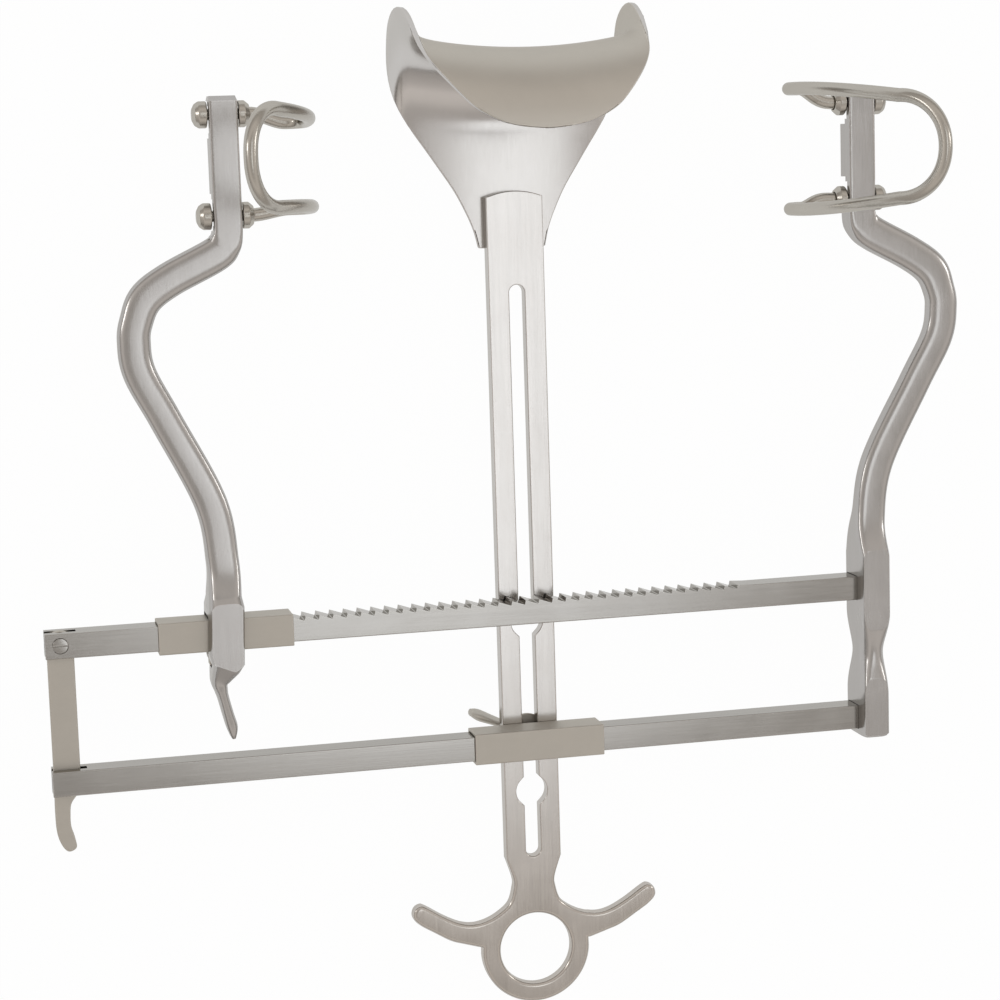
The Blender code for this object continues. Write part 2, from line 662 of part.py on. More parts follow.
def clamp_body():
    low = (CLAMP_X - CLAMP_L / 2, PLAIN_Y - SLIDE - CLAMP_WALL, CLAMP_BACK)
    high = (CLAMP_X + CLAMP_L / 2, PLAIN_Y + BAR_H + SLIDE + CLAMP_WALL, SLIDE + CLAMP_WALL)
    body = solid("clamp_body", block(low, high, 0.4), WARM_STEEL)
    hollow = block(
        (low[0] - 1, PLAIN_Y - SLIDE, -BAR_T - SLIDE), (high[0] + 1, PLAIN_Y + BAR_H + SLIDE, SLIDE)
    )
    cut(body, hollow, "clamp_hollow")
    bore = [(0, -BAR_T + 2), (STEM_R + FIT, -BAR_T + 2), (STEM_R + FIT, CLAMP_BACK - 1), (0, CLAMP_BACK - 1)]
    cut(body, turned(bore, (0, wing_y(), 0)), "stem_bore")
    return body


def wing_y():
    return PLAIN_Y + BAR_H / 2


def wing_screw():
    # One forging: the threaded stem, the hub and two wings like paddles.
    tip = -BAR_T - FIT
    seat_z = SHANK_BACK - FIT - WASHER_T - FIT
    back = seat_z - HUB_T
    profile = [(0, tip), (STEM_R - 0.3, tip), (STEM_R, tip - 0.3), (STEM_R, seat_z)]
    profile += [(HUB_R, seat_z), (HUB_R + 0.3, seat_z - 0.6), (HUB_R, back + 0.4), (HUB_R - 0.8, back), (0, back)]
    screw = solid("wing_screw", turned(profile, (0, wing_y(), 0), sides=24), WARM_STEEL)
    for k in (0, 1):
        blade = []
        for r, low, high, t in wing_rows(seat_z):
            blade.append([Vector((r, v * t, z)) for v, z in wing_ring(low, high)])
        bm = bmesh.new()
        loft(bm, blade)
        turn = Matrix.Rotation(WING_TURN + k * math.pi, 4, "Z")
        bm.transform(Matrix.Translation((0, wing_y(), 0)) @ turn)
        join(screw, bm, "wing_%d" % k)
    return screw


def wing_rows(seat_z):
    top = seat_z - 0.6
    rows = [(HUB_R - 2.6, top - HUB_T + 1.0, top, WING_T * 0.5)]
    rows += [(HUB_R + 1.5, top - HUB_T - 1.0, top, WING_T * 0.42)]
    rows += [(WING_SPAN * 0.6, top - WING_H * 0.86, top - 0.4, WING_T * 0.42)]
    rows += [(WING_SPAN * 0.85, top - WING_H, top - 1.2, WING_T * 0.5)]
    rows += [(WING_SPAN, top - WING_H + 1.6, top - 3.6, WING_T * 0.3)]
    return spline(rows, 3)


def wing_ring(low, high):
    mid, half = (low + high) / 2, (high - low) / 2
    ring = []
    for k in range(12):
        a = 2 * math.pi * k / 12
        c, s = math.cos(a), math.sin(a)
        ring.append((math.copysign(abs(c) ** 0.7, c), mid + half * math.copysign(abs(s) ** 0.7, s)))
    return ring


def washer():
    near = SHANK_BACK - FIT
    bore = STEM_R + FIT
    profile = [(bore, near), (bore, near - WASHER_T), (WASHER_R - 0.3, near - WASHER_T)]
    profile += [(WASHER_R, near - WASHER_T + 0.3), (WASHER_R, near)]
    return solid("screw_washer", turned(profile, (0, wing_y(), 0), sides=24), WARM_STEEL)


def shank():
    # A flat bar with an arched top and, below, a ring with two curved finger wings.
    half = SHANK_W / 2
    right = [(half, SHANK_TOP - 1.8), (half, SLOT_END - 0.2)]
    wing = [(NECK_W / 2, SLOT_END - RING_R * 0.4), (NECK_W / 2 + 0.1, SLOT_END - RING_R * 0.58)]
    wing += [(u * WING_REACH, RING_Y + v * RING_R) for u, v in FINGER_WING]
    wing += [(RING_R * 0.995, RING_Y + RING_R * 0.1)]
    right += spline([right[-1]] + wing, 3)[1:]
    right += arc(0, RING_Y, RING_R, 0, -90, 9)[1:]
    left = [(-x, y) for x, y in reversed(right)][1:]
    crown = arc(0, SHANK_TOP - 24.2, 24.2, 112, 68, 6)[1:-1]
    bar = solid("shank", plate(right + left + crown, SHANK_BACK, SHANK_FRONT), SATIN_STEEL)
    z0, z1 = SHANK_BACK - 1, SHANK_FRONT + 1
    r = SLOT_W / 2
    slot = arc(0, SLOT_TOP - r, r, 0, 180, 8)
    # Each keyhole's shoulders leave the slot at 45 degrees and touch the hole's circle there.
    k = KEY_D / 2 * math.sqrt(2) - r
    for y in (KEY_UPPER, KEY_LOWER):
        slot += [(-r, y + k)] + arc(0, y, KEY_D / 2, 135, 225, 6) + [(-r, y - k)]
    slot += arc(0, SLOT_END + r, r, 180, 360, 8)
    for y in (KEY_LOWER, KEY_UPPER):
        slot += [(r, y - k)] + arc(0, y, KEY_D / 2, -45, 45, 6) + [(r, y + k)]
    cut(bar, plate(slot, z0, z1), "shank_slot")
    bore = [(0, z1), (RING_BORE / 2, z1), (RING_BORE / 2, z0), (0, z0)]
    cut(bar, turned(bore, (0, RING_Y, 0), sides=32), "finger_bore")
    return bar


def sheet_edges(straight, bend):
    # Runs up the sheet's middle, each with how far across the edge lies there.
    back = [(0.0, (SHANK_W / 2 + 1.2) / BLADE_HALF / 1.25)]
    back += [(v * straight, t) for v, t in EDGE_BACK]
    arch = [(straight + v * bend, t) for v, t in EDGE_ARCH]
    return back + spline(arch[:6], 2) + arch[6:] + [(straight + bend, 0.06)]


def sheet_point(s, t, straight):
    # The middle runs straight and then round the arch. The sides bow gently and end as flanges.
    a = max(s - straight, 0.0) / ARCH_R
    across = 1.25 * t - 0.25 * t**5
    bow = BOW_SOFT * across**2 + (1 - BOW_SOFT) * t**12
    y = TONGUE_Y + min(s, straight) + ARCH_R * math.sin(a) + BOW_UP * bow
    z = SHANK_BACK - FIT - SHEET_T / 2 + ARCH_R * (1 - math.cos(a)) - BOW_BACK * bow
    return Vector((BLADE_HALF * across, y, z))


def centre_blade():
    # A saddle sheet: up behind the shank, over a half round and down in front as a lip.
    straight = ARCH_Y - TONGUE_Y
    across = 18
    rows = []
    for s, edge in sheet_edges(straight, math.pi * ARCH_R):
        rows.append([sheet_point(s, edge * (2 * k / across - 1), straight) for k in range(across + 1)])
    bm = bmesh.new()
    grid = [[bm.verts.new(p) for p in row] for row in rows]
    for a, b in zip(grid, grid[1:]):
        for i in range(across):
            bm.faces.new((a[i], a[i + 1], b[i + 1], b[i]))
    blade = solid("centre_blade", bm, SATIN_STEEL)
    thick = blade.modifiers.new("sheet", "SOLIDIFY")
    thick.thickness = SHEET_T * MM
    thick.offset = 0.0
    return blade


for old in list(bpy.data.objects):
    bpy.data.objects.remove(old, do_unlink=True)

root = bpy.data.objects.new("frame_origin", None)
bpy.context.collection.objects.link(root)

right_x = POST_X - FIXED_TOP_IN
left_x = SLIDER_X + SLIDE_TOP_IN
pivot = (PIVOT_X, -SLIDE - SLEEVE_WALL - PIVOT_DROP, 0.0)

seat(ratchet_bar(), root)
seat(plain_bar(), root)
seat(fixed_arm(), root)
seat(gate_screw(), root, (GATE_X, GATE_Y, 0.0))
seat(gate_link(), root, (GATE_X, GATE_Y, 0.0))
sleeve = seat(slider_sleeve(), root, (SLIDER_X, BAR_H / 2, -BAR_T / 2))
seat(arm_pin(), sleeve, pivot)
left_arm = seat(sliding_arm(), sleeve, pivot)
clamp = seat(clamp_body(), root, (0.0, wing_y(), -BAR_T / 2))
seat(wing_screw(), clamp, (0.0, wing_y(), 0.0))
seat(washer(), clamp, (0.0, wing_y(), 0.0))
bar = seat(shank(), clamp, (0.0, wing_y(), SHANK_FRONT))
seat(centre_blade(), bar, (0.0, TONGUE_Y, SHANK_BACK))

for label, side, x, holder, sag, spread, toe, out, flat, rise in (
    ("right", 1, right_x, root, PIN_SAG_RIGHT, SPREAD_RIGHT, TOE_RIGHT, BLADE_OUT_RIGHT, 2.1, 0.0),
    ("left", -1, left_x, left_arm, PIN_SAG_LEFT, SPREAD_LEFT, TOE_LEFT, BLADE_OUT_LEFT, 2.4, BLADE_RISE_LEFT),
):
    mid = PIN_MID_Y - sag
    at = (x, mid, PIN_Z)
    wire = side_blade(label + "_blade_wire", side, x, sag, spread, toe, out, flat, rise)
    wire = seat(wire, holder, at)
    for end, sign in (("upper", 1), ("lower", -1)):
        y = mid + sign * PIN_SPAN / 2
        seat(knob(label + "_blade_" + end + "_knob", side, x, y), wire, (x, y, PIN_Z))
        seat(collar(label + "_blade_" + end + "_collar", side, x, y), wire, (x, y, PIN_Z))

# The frame's origin goes to the middle of the object's footprint, at its lowest point.
bpy.context.view_layer.update()
seen = bpy.context.evaluated_depsgraph_get()
low = Vector((1e9, 1e9, 1e9))
high = -low
for obj in bpy.data.objects:
    if obj.type != "MESH" or obj.hide_render:
        continue
    shape = obj.evaluated_get(seen)
    for v in shape.data.vertices:
        p = shape.matrix_world @ v.co
        low = Vector(map(min, low, p))
        high = Vector(map(max, high, p))
middle = (low + high) / 2
root.location = (-round(middle.x, 4), -round(middle.y, 4), -round(low.z, 4))
bpy.context.view_layer.update()
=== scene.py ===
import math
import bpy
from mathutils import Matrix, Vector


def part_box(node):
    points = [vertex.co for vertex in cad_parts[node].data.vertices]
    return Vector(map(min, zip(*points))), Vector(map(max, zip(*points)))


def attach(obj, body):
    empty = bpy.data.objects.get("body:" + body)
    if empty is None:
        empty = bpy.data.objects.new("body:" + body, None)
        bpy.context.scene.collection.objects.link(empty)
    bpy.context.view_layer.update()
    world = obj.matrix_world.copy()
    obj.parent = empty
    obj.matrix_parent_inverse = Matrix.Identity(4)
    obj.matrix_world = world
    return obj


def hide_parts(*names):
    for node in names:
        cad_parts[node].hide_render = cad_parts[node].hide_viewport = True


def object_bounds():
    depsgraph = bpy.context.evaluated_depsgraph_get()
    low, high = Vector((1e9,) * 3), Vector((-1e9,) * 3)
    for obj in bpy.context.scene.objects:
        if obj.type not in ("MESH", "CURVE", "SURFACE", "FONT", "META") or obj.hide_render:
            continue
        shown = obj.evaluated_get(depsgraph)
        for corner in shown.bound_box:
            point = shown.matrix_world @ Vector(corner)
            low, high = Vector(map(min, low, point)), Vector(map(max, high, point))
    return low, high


bl_info = {
    "name": "Abdominal retractor",
    "version": (1, 0, 0),
    "blender": (4, 5, 0),
    "location": "View3D > Sidebar > Retractor",
    "description": "Builds the finished pieces of an abdominal retractor on its packed frame",
    "category": "Object",
}

import bmesh
import bpy
from bpy.props import FloatProperty, FloatVectorProperty, PointerProperty
from mathutils import Matrix, Vector

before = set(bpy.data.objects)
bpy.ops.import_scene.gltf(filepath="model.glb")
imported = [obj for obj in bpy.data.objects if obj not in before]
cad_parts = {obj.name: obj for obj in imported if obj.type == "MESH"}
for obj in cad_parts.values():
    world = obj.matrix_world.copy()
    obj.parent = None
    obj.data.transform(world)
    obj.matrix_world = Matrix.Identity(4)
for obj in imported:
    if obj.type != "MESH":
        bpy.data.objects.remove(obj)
cad_low, cad_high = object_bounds()

# Shapes are drawn in millimetres. The bars' lower edge is Y 0, their front face Z 0.
MM = 0.001
FIT = 0.3
SLIDE = 0.2

# Frame bars
BAR_H = 8.0
BAR_T = 9.0
BAR_GAP = 44.0
BAR_SEAT = 3.0
RACK_LAST = 69.4
RACK_TEETH = 42
RACK_PITCH = 4.5
RACK_DEPTH = 1.4
RACK_FIRST = RACK_LAST - (RACK_TEETH - 1) * RACK_PITCH
TOOTH_EDGE = 0.05

# Gate link and its screw
GATE_X = -151.7
GATE_Y = 4.1
GATE_W = 8.4
GATE_T = 2.5
GATE_FRONT = -3.0
BAR_PAST = 0.5
FORK_PAST = 1.4
SLOT_PAST = 2.6
HOOK_DROP = 18.6
GATE_EDGE = 0.35
SCREW_R = 2.4
SCREW_SHANK_R = 1.6
SCREW_HEAD_T = 1.5
SCREW_PROUD = 0.1
DRIVER_W = 0.6
DRIVER_REACH = 4.0
DRIVER_DEEP = 0.5

# Arms
POST_X = 115.8
POST_W = 9.4
POST_FRONT = 5.0
POST_BACK = -11.2
POST_TOP = 15.0
POST_OVER = 4.3
POST_FOOT = 2.4
PAD_CROWN = 0.8
WAIST_W = 8.3
ARM_W = 10.4
ARM_T = 8.8
ARM_BULGE = 26.4
ARM_BULGE_Y = 96.5
BOW_RUN = 12.0
BOW_RISE = (0.0, -0.015), (0.27, 0.12), (0.64, 0.63), (0.856, 0.936), (1.0, 1.0)
BOW_FALL = (0.19, 0.966), (0.39, 0.855), (0.56, 0.575)
NECK_Y = 130.5
NECK_R = 8.4
NECK_TURN = 64.0
FIXED_NECK_DROP = 1.6
FIXED_BOW_OUT = 0.8
FIXED_BOW_WIDE = 0.45
SLIDE_BOW_OUT = 0.5
SLIDE_BOW_WIDE = 0.25
UPPER_POST_WIDE = 0.4
TOP_W = 9.0
TOP_Y = 169.7
TOP_LEFT = 171.9
HEAD_LIFT = 1.5
FIXED_TOP_IN = 1.1
SLIDE_TOP_IN = 7.3
NOTCH_H = 11.4
NOTCH_DEEP = 6.3
NOTCH_Y = 134.7
NOTCH_STEP = 28.5
NOTCH_ROUND = 1.6

# How square an arm's section is at its front and at its back
BLOCKY = 6, 12
BOXED = 16, 16

# Slider and sliding arm
SLIDER_X = -100.6
SLEEVE_LEFT = -121.3
SLEEVE_RIGHT = -78.6
SLEEVE_WALL = 0.9
FOLD_ROUND = 0.6
BLOCK_W = 11.3
BLOCK_SHIFT = 0.5
BLOCK_FRONT = 5.6
BLOCK_BACK = -13.2
BLOCK_PLAY = 0.9
TILT = math.radians(2.2)
LEVER_LEN = 24.0
PIVOT_X = -103.4
PIVOT_R = 1.0
PIVOT_DROP = 3.0
LUG_W = 3.9
LUG_T = 4.0
LUG_PAD = 0.9
PAWL_W = 3.0
PAWL_T = 4.0
PAWL_BITE = 0.5
PAWL_SWING = 1.9
WINDOW_PLAY = 0.5

# Side blades
PIN_R = 1.75
PIN_SPAN = 31.2
PIN_MID_Y = 149.9
KNOB_LEN = 4.6
COLLAR_LEN = 3.6
REACH = 25.1
BEND_R = 5.4
BLADE_DEPTH = 64.5

# Each side blade: its legs' spread, its toe's spread, lean out, squareness, its pins' sag and its toe's rise
BLADE_SHAPES = {"right": (19.3, 15.6, 1.8, 2.1, 1.1, 0.0), "left": (13.3, 14.2, 0.5, 2.3, -0.75, 3.0)}

# Clamp, wing screw and washer
CLAMP_X = 0.6
CLAMP_L = 43.2
CLAMP_WALL = 0.9
STEM_R = 2.25
THREAD_PITCH = 0.8
THREAD_DEEP = 0.32
HUB_R = 4.6
HUB_T = 4.0
WASHER_R = 7.0
WASHER_T = 1.2
WING_SPAN = 18.6
WING_T = 3.4
WING_H = 11.0
WING_SEAT = 0.6
WING_EDGE = 0.0003
WING_TURN = math.radians(158.0)

# Shank
SHANK_T = 4.5
SHANK_TOP = 139.5
TONGUE_R = 24.2
SLOT_TOP = 109.4
SLOT_END = -80.6
KEY_D = 10.5
KEY_UPPER = -1.0
KEY_LOWER = -58.2
RING_Y = -112.4
RING_R = 18.4
NECK_W = 14.4
WING_REACH = 41.6
WING_DROP = 0.6
WING_SHIFT = 0.5

# One finger wing's edge, as shares of the wings' reach and of the ring's radius
FINGER_WING = (0.21, 0.93), (0.286, 0.77), (0.389, 0.647), (0.5, 0.595), (0.608, 0.636), (0.736, 0.777)
FINGER_WING += (0.89, 1.0), (0.94, 1.03), (0.985, 0.96), (0.995, 0.81), (0.94, 0.665), (0.827, 0.5)
FINGER_WING += (0.695, 0.32), (0.587, 0.235)

# Centre blade
TONGUE_Y = 121.0
ARCH_R = 24.6
ARCH_Y = 158.8
BLADE_HALF = 37.6
BOW_UP = 14.0
BOW_BACK = 12.0
BOW_SOFT = 0.3
BOW_FLAT = 0.15
LIP_NARROW = 0.02
BLADE_YAW = 0.04
BLADE_TURN = -0.07
TONGUE_SHIFT = 0.35
RIM_SHARE = 0.2

# The sheet's edge: a share of the way up the back or round the arch, and how far across it lies
EDGE_BACK = (0.0, 0.235), (0.16, 0.267), (0.32, 0.322), (0.48, 0.392), (0.64, 0.485)
EDGE_BACK += (0.8, 0.588), (0.95, 0.7)
EDGE_ARCH = (0.0, 0.74), (0.127, 0.92), (0.255, 0.98), (0.38, 1.0), (0.58, 1.0), (0.67, 0.97), (0.73, 0.88)
EDGE_ARCH += (0.78, 0.785), (0.825, 0.7), (0.88, 0.6), (0.93, 0.5), (0.96, 0.4), (0.98, 0.3)
EDGE_ARCH += (0.993, 0.17), (1.0, 0.0)

BARS_LEFT = GATE_X - GATE_W / 2 - BAR_PAST
PLAIN_Y = -BAR_GAP
MID_Z = -BAR_T / 2
WING_Y = PLAIN_Y + BAR_H / 2
CLAMP_BACK = -BAR_T - SLIDE - CLAMP_WALL
SHANK_FRONT = CLAMP_BACK - FIT
SHANK_BACK = SHANK_FRONT - SHANK_T
PIN_Z = -(ARM_T - NOTCH_DEEP) - PIN_R - FIT
FIXED_TOP_X = POST_X - FIXED_TOP_IN
SLIDE_TOP_X = SLIDER_X + SLIDE_TOP_IN
PAWL_X = RACK_LAST - math.floor((RACK_LAST - SLIDER_X - 2.6) / RACK_PITCH) * RACK_PITCH - FIT

# Where the drawing's origin lies in the frame
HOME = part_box("ratchet_bar")[0] - Vector((BARS_LEFT, 0.0, -BAR_T)) * MM

# The camera, from the bars' lower edge
CAMERA_AT = Vector((-187.0, 155.5, 783.9))
CAMERA_TURN = (-7.683, -12.964, -1.828)
CAMERA_LENS = 90.95


def measure(name, description, default):
    return FloatProperty(name=name, description=description, default=default, unit="LENGTH")


def number(name, description, default):
    return FloatProperty(name=name, description=description, default=default)


def colour(name, description, default):
    return FloatVectorProperty(name=name, description=description, default=default, size=3, subtype="COLOR")


class RetractorSizes(bpy.types.PropertyGroup):
    wire_radius: measure("Wire radius", "Half the thickness of the side blades' wire", 0.0021)
    knob_radius: measure("Knob radius", "Radius of the knobs and collars", 0.00415)
    edge_round: measure("Edge rounding", "Rounding of the edges of bars, sleeves and shank", 0.00035)
    handle_round: measure("Handle rounding", "Rounding of the ring handle", 0.0013)
    shank_width: measure("Shank width", "Width of the slotted shank", 0.0187)
    slot_width: measure("Slot width", "Width of the slot along the shank", 0.0051)
    ring_bore: measure("Finger ring bore", "Inner diameter of the ring handle", 0.0242)
    sheet: measure("Sheet", "Thickness of the centre blade's sheet", 0.0016)


class RetractorFinish(bpy.types.PropertyGroup):
    bar_colour: colour("Bar steel", "Colour of the bars", (0.385, 0.374, 0.355))
    satin_colour: colour("Satin steel", "Colour of the arms and the shank", (0.435, 0.422, 0.409))
    warm_colour: colour("Warm steel", "Colour of the sleeves, wires and knobs", (0.49, 0.465, 0.42))
    floor_colour: colour("Floor", "Colour of the floor", (0.9, 0.9, 0.9))
    bar_roughness: number("Bar roughness", "Roughness of the bars", 0.16)
    satin_roughness: number("Satin roughness", "Roughness of the arms", 0.23)
    warm_roughness: number("Warm roughness", "Roughness of sleeves and wires", 0.42)
    grain_length: measure("Grain length", "Length of one brushed scratch", 0.012)
    grain_width: measure("Grain width", "Width of one brushed scratch", 0.00022)
    lamp_power: number("Lamp power", "Power of each soft lamp in watts", 1.0)


# Shapes


def ease(t):
    t = min(max(t, 0.0), 1.0)
    return t * t * (3 - 2 * t)


def powered(value, power):
    return math.copysign(abs(value) ** power, value)


def loft(bm, rings, closed=False):
    loops = [[bm.verts.new(p) for p in ring] for ring in rings]
    pairs = list(zip(loops, loops[1:]))
    if closed:
        pairs.append((loops[-1], loops[0]))
    for a, b in pairs:
        for i in range(len(a)):
            j = (i + 1) % len(a)
            bm.faces.new((a[i], a[j], b[j], b[i]))
    if not closed:
        bm.faces.new(loops[0][::-1])
        bm.faces.new(loops[-1])


def plate(outline, back, front):
    bm = bmesh.new()
    loft(bm, [[Vector((x, y, z)) for x, y in outline] for z in (back, front)])
    return bm


def block(low, high):
    bm = bmesh.new()
    size, middle = Vector(high) - Vector(low), (Vector(high) + Vector(low)) / 2
    place = Matrix.Translation(middle) @ Matrix.Diagonal((*size, 1.0))
    bmesh.ops.create_cube(bm, size=1.0, matrix=place)
    return bm


def turned(profile, centre, axis="Z", sides=64):
    # A profile of radius and height pairs, turned about an axis through centre.
    bm = bmesh.new()
    turn = {"Z": Matrix(), "X": Matrix.Rotation(math.radians(90), 4, "Y")}[axis]
    rings = []
    for k in range(sides):
        a = 2 * math.pi * k / sides
        ring = [Vector((r * math.cos(a), r * math.sin(a), h)) for r, h in profile]
        rings.append([Vector(centre) + turn @ p for p in ring])
    if min(r for r, h in profile) > 0:
        loft(bm, rings, closed=True)
    else:
        tips = [bm.verts.new(rings[0][i]) for i in (0, -1)]
        walls = [[bm.verts.new(p) for p in ring[1:-1]] for ring in rings]
        for a, b in zip(walls, walls[1:] + walls[:1]):
            bm.faces.new((tips[0], b[0], a[0]))
            bm.faces.new((tips[1], a[-1], b[-1]))
            for i in range(len(a) - 1):
                bm.faces.new((a[i], b[i], b[i + 1], a[i + 1]))
    return bm


def inward(loop):
    # At each corner of a closed outline with its solid on the left, the way that keeps an even inset.
    ways = []
    for before, here, after in zip(loop[-1:] + loop, loop, loop[1:] + loop[:1]):
        a, b = (here - before).normalized(), (after - here).normalized()
        way = (Vector((-a.y, a.x)) + Vector((-b.y, b.x))).normalized()
        ways.append(way / max(way.dot(Vector((-a.y, a.x))), 0.4))
    return ways


def rounded_plate(outline, holes, back, front, radius, steps=4):
    # A plate with holes whose edges are rounded by a radius that may differ from place to place.
    bm = bmesh.new()
    caps = [], []
    for k, loop in enumerate([outline, *holes]):
        loop = [Vector(p) for p in loop]
        area = sum(a.cross(b) for a, b in zip(loop, loop[1:] + loop[:1]))
        if (area > 0) == (k > 0):
            loop.reverse()
        ways = inward(loop)
        depths = [radius(*p) for p in loop]
        rings = []
        for end, face in ((back, 1), (front, -1)):
            turns = range(steps + 1) if face > 0 else range(steps, -1, -1)
            for j in turns:
                a = math.radians(90) * j / steps
                ring = []
                for p, way, r in zip(loop, ways, depths):
                    q = p + way * r * (1 - math.sin(a))
                    ring.append(bm.verts.new((q.x, q.y, end + face * r * (1 - math.cos(a)))))
                rings.append(ring)
        count = len(loop)
        for a, b in zip(rings, rings[1:]):
            for i in range(count):
                j = (i + 1) % count
                bm.faces.new((a[i], a[j], b[j], b[i]))
        for cap, ring in zip(caps, (rings[0], rings[-1])):
            cap += [bm.edges.get((ring[i], ring[(i + 1) % count])) for i in range(count)]
    for cap in caps:
        bmesh.ops.triangle_fill(bm, edges=cap, use_beauty=True)
    return bm


def bore(x, y, radius, low, high):
    return turned([(0, high), (radius, high), (radius, low), (0, low)], (x, y, 0))


def rounded(points, radius, steps=5):
    # Rounds each inner corner of an open profile with a short curve.
    result = [points[0]]
    for before, here, after in zip(points, points[1:], points[2:]):
        here = Vector(here)
        ends = []
        for other in (before, after):
            way = Vector(other) - here
            ends.append(here + way.normalized() * min(radius, way.length * 0.45))
        for k in range(steps + 1):
            t = k / steps
            result.append(tuple((1 - t) ** 2 * ends[0] + 2 * t * (1 - t) * here + t * t * ends[1]))
    return result + [points[-1]]


def arc(cx, cy, radius, start, end, steps):
    points = []
    for k in range(steps + 1):
        a = math.radians(start + (end - start) * k / steps)
        points.append((cx + radius * math.cos(a), cy + radius * math.sin(a)))
    return points


def spline(points, per_span):
    # A smooth curve through every control row, which may hold any number of values.
    rows = [points[0]] + list(points) + [points[-1]]
    curve = []
    for p0, p1, p2, p3 in zip(rows, rows[1:], rows[2:], rows[3:]):
        for k in range(per_span):
            t = k / per_span
            row = []
            for a, b, c, d in zip(p0, p1, p2, p3):
                bend = (2 * a - 5 * b + 4 * c - d) * t * t + (3 * b - a - 3 * c + d) * t**3
                row.append(0.5 * (2 * b + (c - a) * t + bend))
            curve.append(tuple(row))
    curve.append(tuple(points[-1]))
    return curve


def eased(a, b, steps):
    # Rows that pass smoothly from a to b, both left out.
    rows = []
    for k in range(1, steps):
        t = k / steps
        shape = [u + (v - u) * ease(t) for u, v in zip(a[1:], b[1:])]
        rows.append((a[0] + (b[0] - a[0]) * t, *shape))
    return rows


def section(half, front, back, edge_front, edge_back, points=30):
    # A closed section across an arm: flat where its edge value is high, round where it is low.
    mid = (front + back) / 2
    ring = []
    for side, edge, reach in ((1, edge_front, front - mid), (-1, edge_back, mid - back)):
        for k in range(points):
            a = math.pi * k / points if side > 0 else math.pi * (1 + k / points)
            u, v = powered(math.cos(a), 2 / edge), powered(math.sin(a), 2 / edge)
            ring.append((half * u, mid + reach * v))
    return ring


def swept(rows, side, x0):
    # Each row: height, outward offset, half width, front, back, front edge, back edge.
    bm = bmesh.new()
    rings = []
    for i, (y, u, half, front, back, ef, eb) in enumerate(rows):
        before, after = rows[max(i - 1, 0)], rows[min(i + 1, len(rows) - 1)]
        run = Vector((after[1] - before[1], after[0] - before[0])).normalized()
        ring = []
        for w, z in section(half, front, back, ef, eb):
            ring.append(Vector((x0 + side * (u + w * run.y), y - w * run.x, z)))
        rings.append(ring)
    loft(bm, rings)
    return bm


def tube(points, radius, sides=28):
    bm = bmesh.new()
    rings = []
    up = None
    for i, p in enumerate(points):
        ahead = points[min(i + 1, len(points) - 1)] - points[max(i - 1, 0)]
        ahead.normalize()
        if up is None:
            up = ahead.orthogonal().normalized()
        up = (up - ahead * up.dot(ahead)).normalized()
        over = ahead.cross(up)
        angles = [2 * math.pi * k / sides for k in range(sides)]
        rings.append([p + radius(i) * (math.cos(a) * up + math.sin(a) * over) for a in angles])
    loft(bm, rings)
    return bm


def hollow_bar(left, right, y, wall):
    # A folded sleeve as a rounded bar, and the passage to cut from it.
    reach, r = SLIDE + wall, wall * FOLD_ROUND
    low, high = (y - reach + r, -BAR_T - reach + r), (y + BAR_H + reach - r, reach - r)
    outer = []
    for k, (cx, cy) in enumerate((high, (low[0], high[1]), low, (high[0], low[1]))):
        outer += arc(cx, cy, r, 90 * k, 90 * k + 90, 6)
    bm = bmesh.new()
    loft(bm, [[Vector((x, a, b)) for a, b in outer] for x in (left, right)])
    passage = block((left - 1, y - SLIDE, -BAR_T - SLIDE), (right + 1, y + BAR_H + SLIDE, SLIDE))
    return bm, passage


# Making and dressing a piece


def thing(name, bm):
    bmesh.ops.recalc_face_normals(bm, faces=bm.faces)
    mesh = bpy.data.meshes.new(name)
    bm.to_mesh(mesh)
    bm.free()
    obj = bpy.data.objects.new(name, mesh)
    bpy.context.scene.collection.objects.link(obj)
    return obj


def modified(obj, name, kind, **values):
    step = obj.modifiers.new(name, kind)
    for key, value in values.items():
        setattr(step, key, value)


def carve(obj, tools, operation="DIFFERENCE"):
    # Cuts or joins each tool with an exact Boolean and keeps the result as plain mesh.
    for bm in tools:
        tool = thing("tool", bm)
        modified(obj, "carve", "BOOLEAN", operation=operation, solver="EXACT", object=tool)
        bpy.context.view_layer.update()
        shape = bpy.data.meshes.new_from_object(obj.evaluated_get(bpy.context.evaluated_depsgraph_get()))
        obj.modifiers.clear()
        obj.data = shape
        bpy.data.objects.remove(tool)


def rounded_edges(obj, name, width, segments, angle):
    limit = {"limit_method": "ANGLE", "angle_limit": math.radians(angle), "use_clamp_overlap": False}
    modified(obj, name, "BEVEL", width=width, segments=segments, **limit)


def finish_piece(name, bm, body, nodes, steel, cuts=(), joins=(), bevel=0.0, sharp=40.0):
    obj = thing(name, bm)
    carve(obj, joins, "UNION")
    carve(obj, cuts)
    obj.data.transform(Matrix.Translation(HOME) @ Matrix.Scale(MM, 4))
    obj.data.shade_smooth()
    obj.data.set_sharp_from_angle(angle=math.radians(sharp))
    if bevel:
        rounded_edges(obj, "edge", bevel, 3, sharp)
    modified(obj, "flat", "WEIGHTED_NORMAL", keep_sharp=True, weight=80)
    obj.data.materials.clear()
    obj.data.materials.append(steel.material)
    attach(obj, body)
    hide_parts(*nodes)
    return obj


# Materials

SHEEN = (0.75, 0.74, 0.72, 1.0)
EVEN_GRAIN = (0.0007, 0.0005)
HAZE_SIZE = 55.0
EDGE_GAIN = 9.0
BUMP_STRENGTH = 0.35
TONE_SPREAD = 0.22

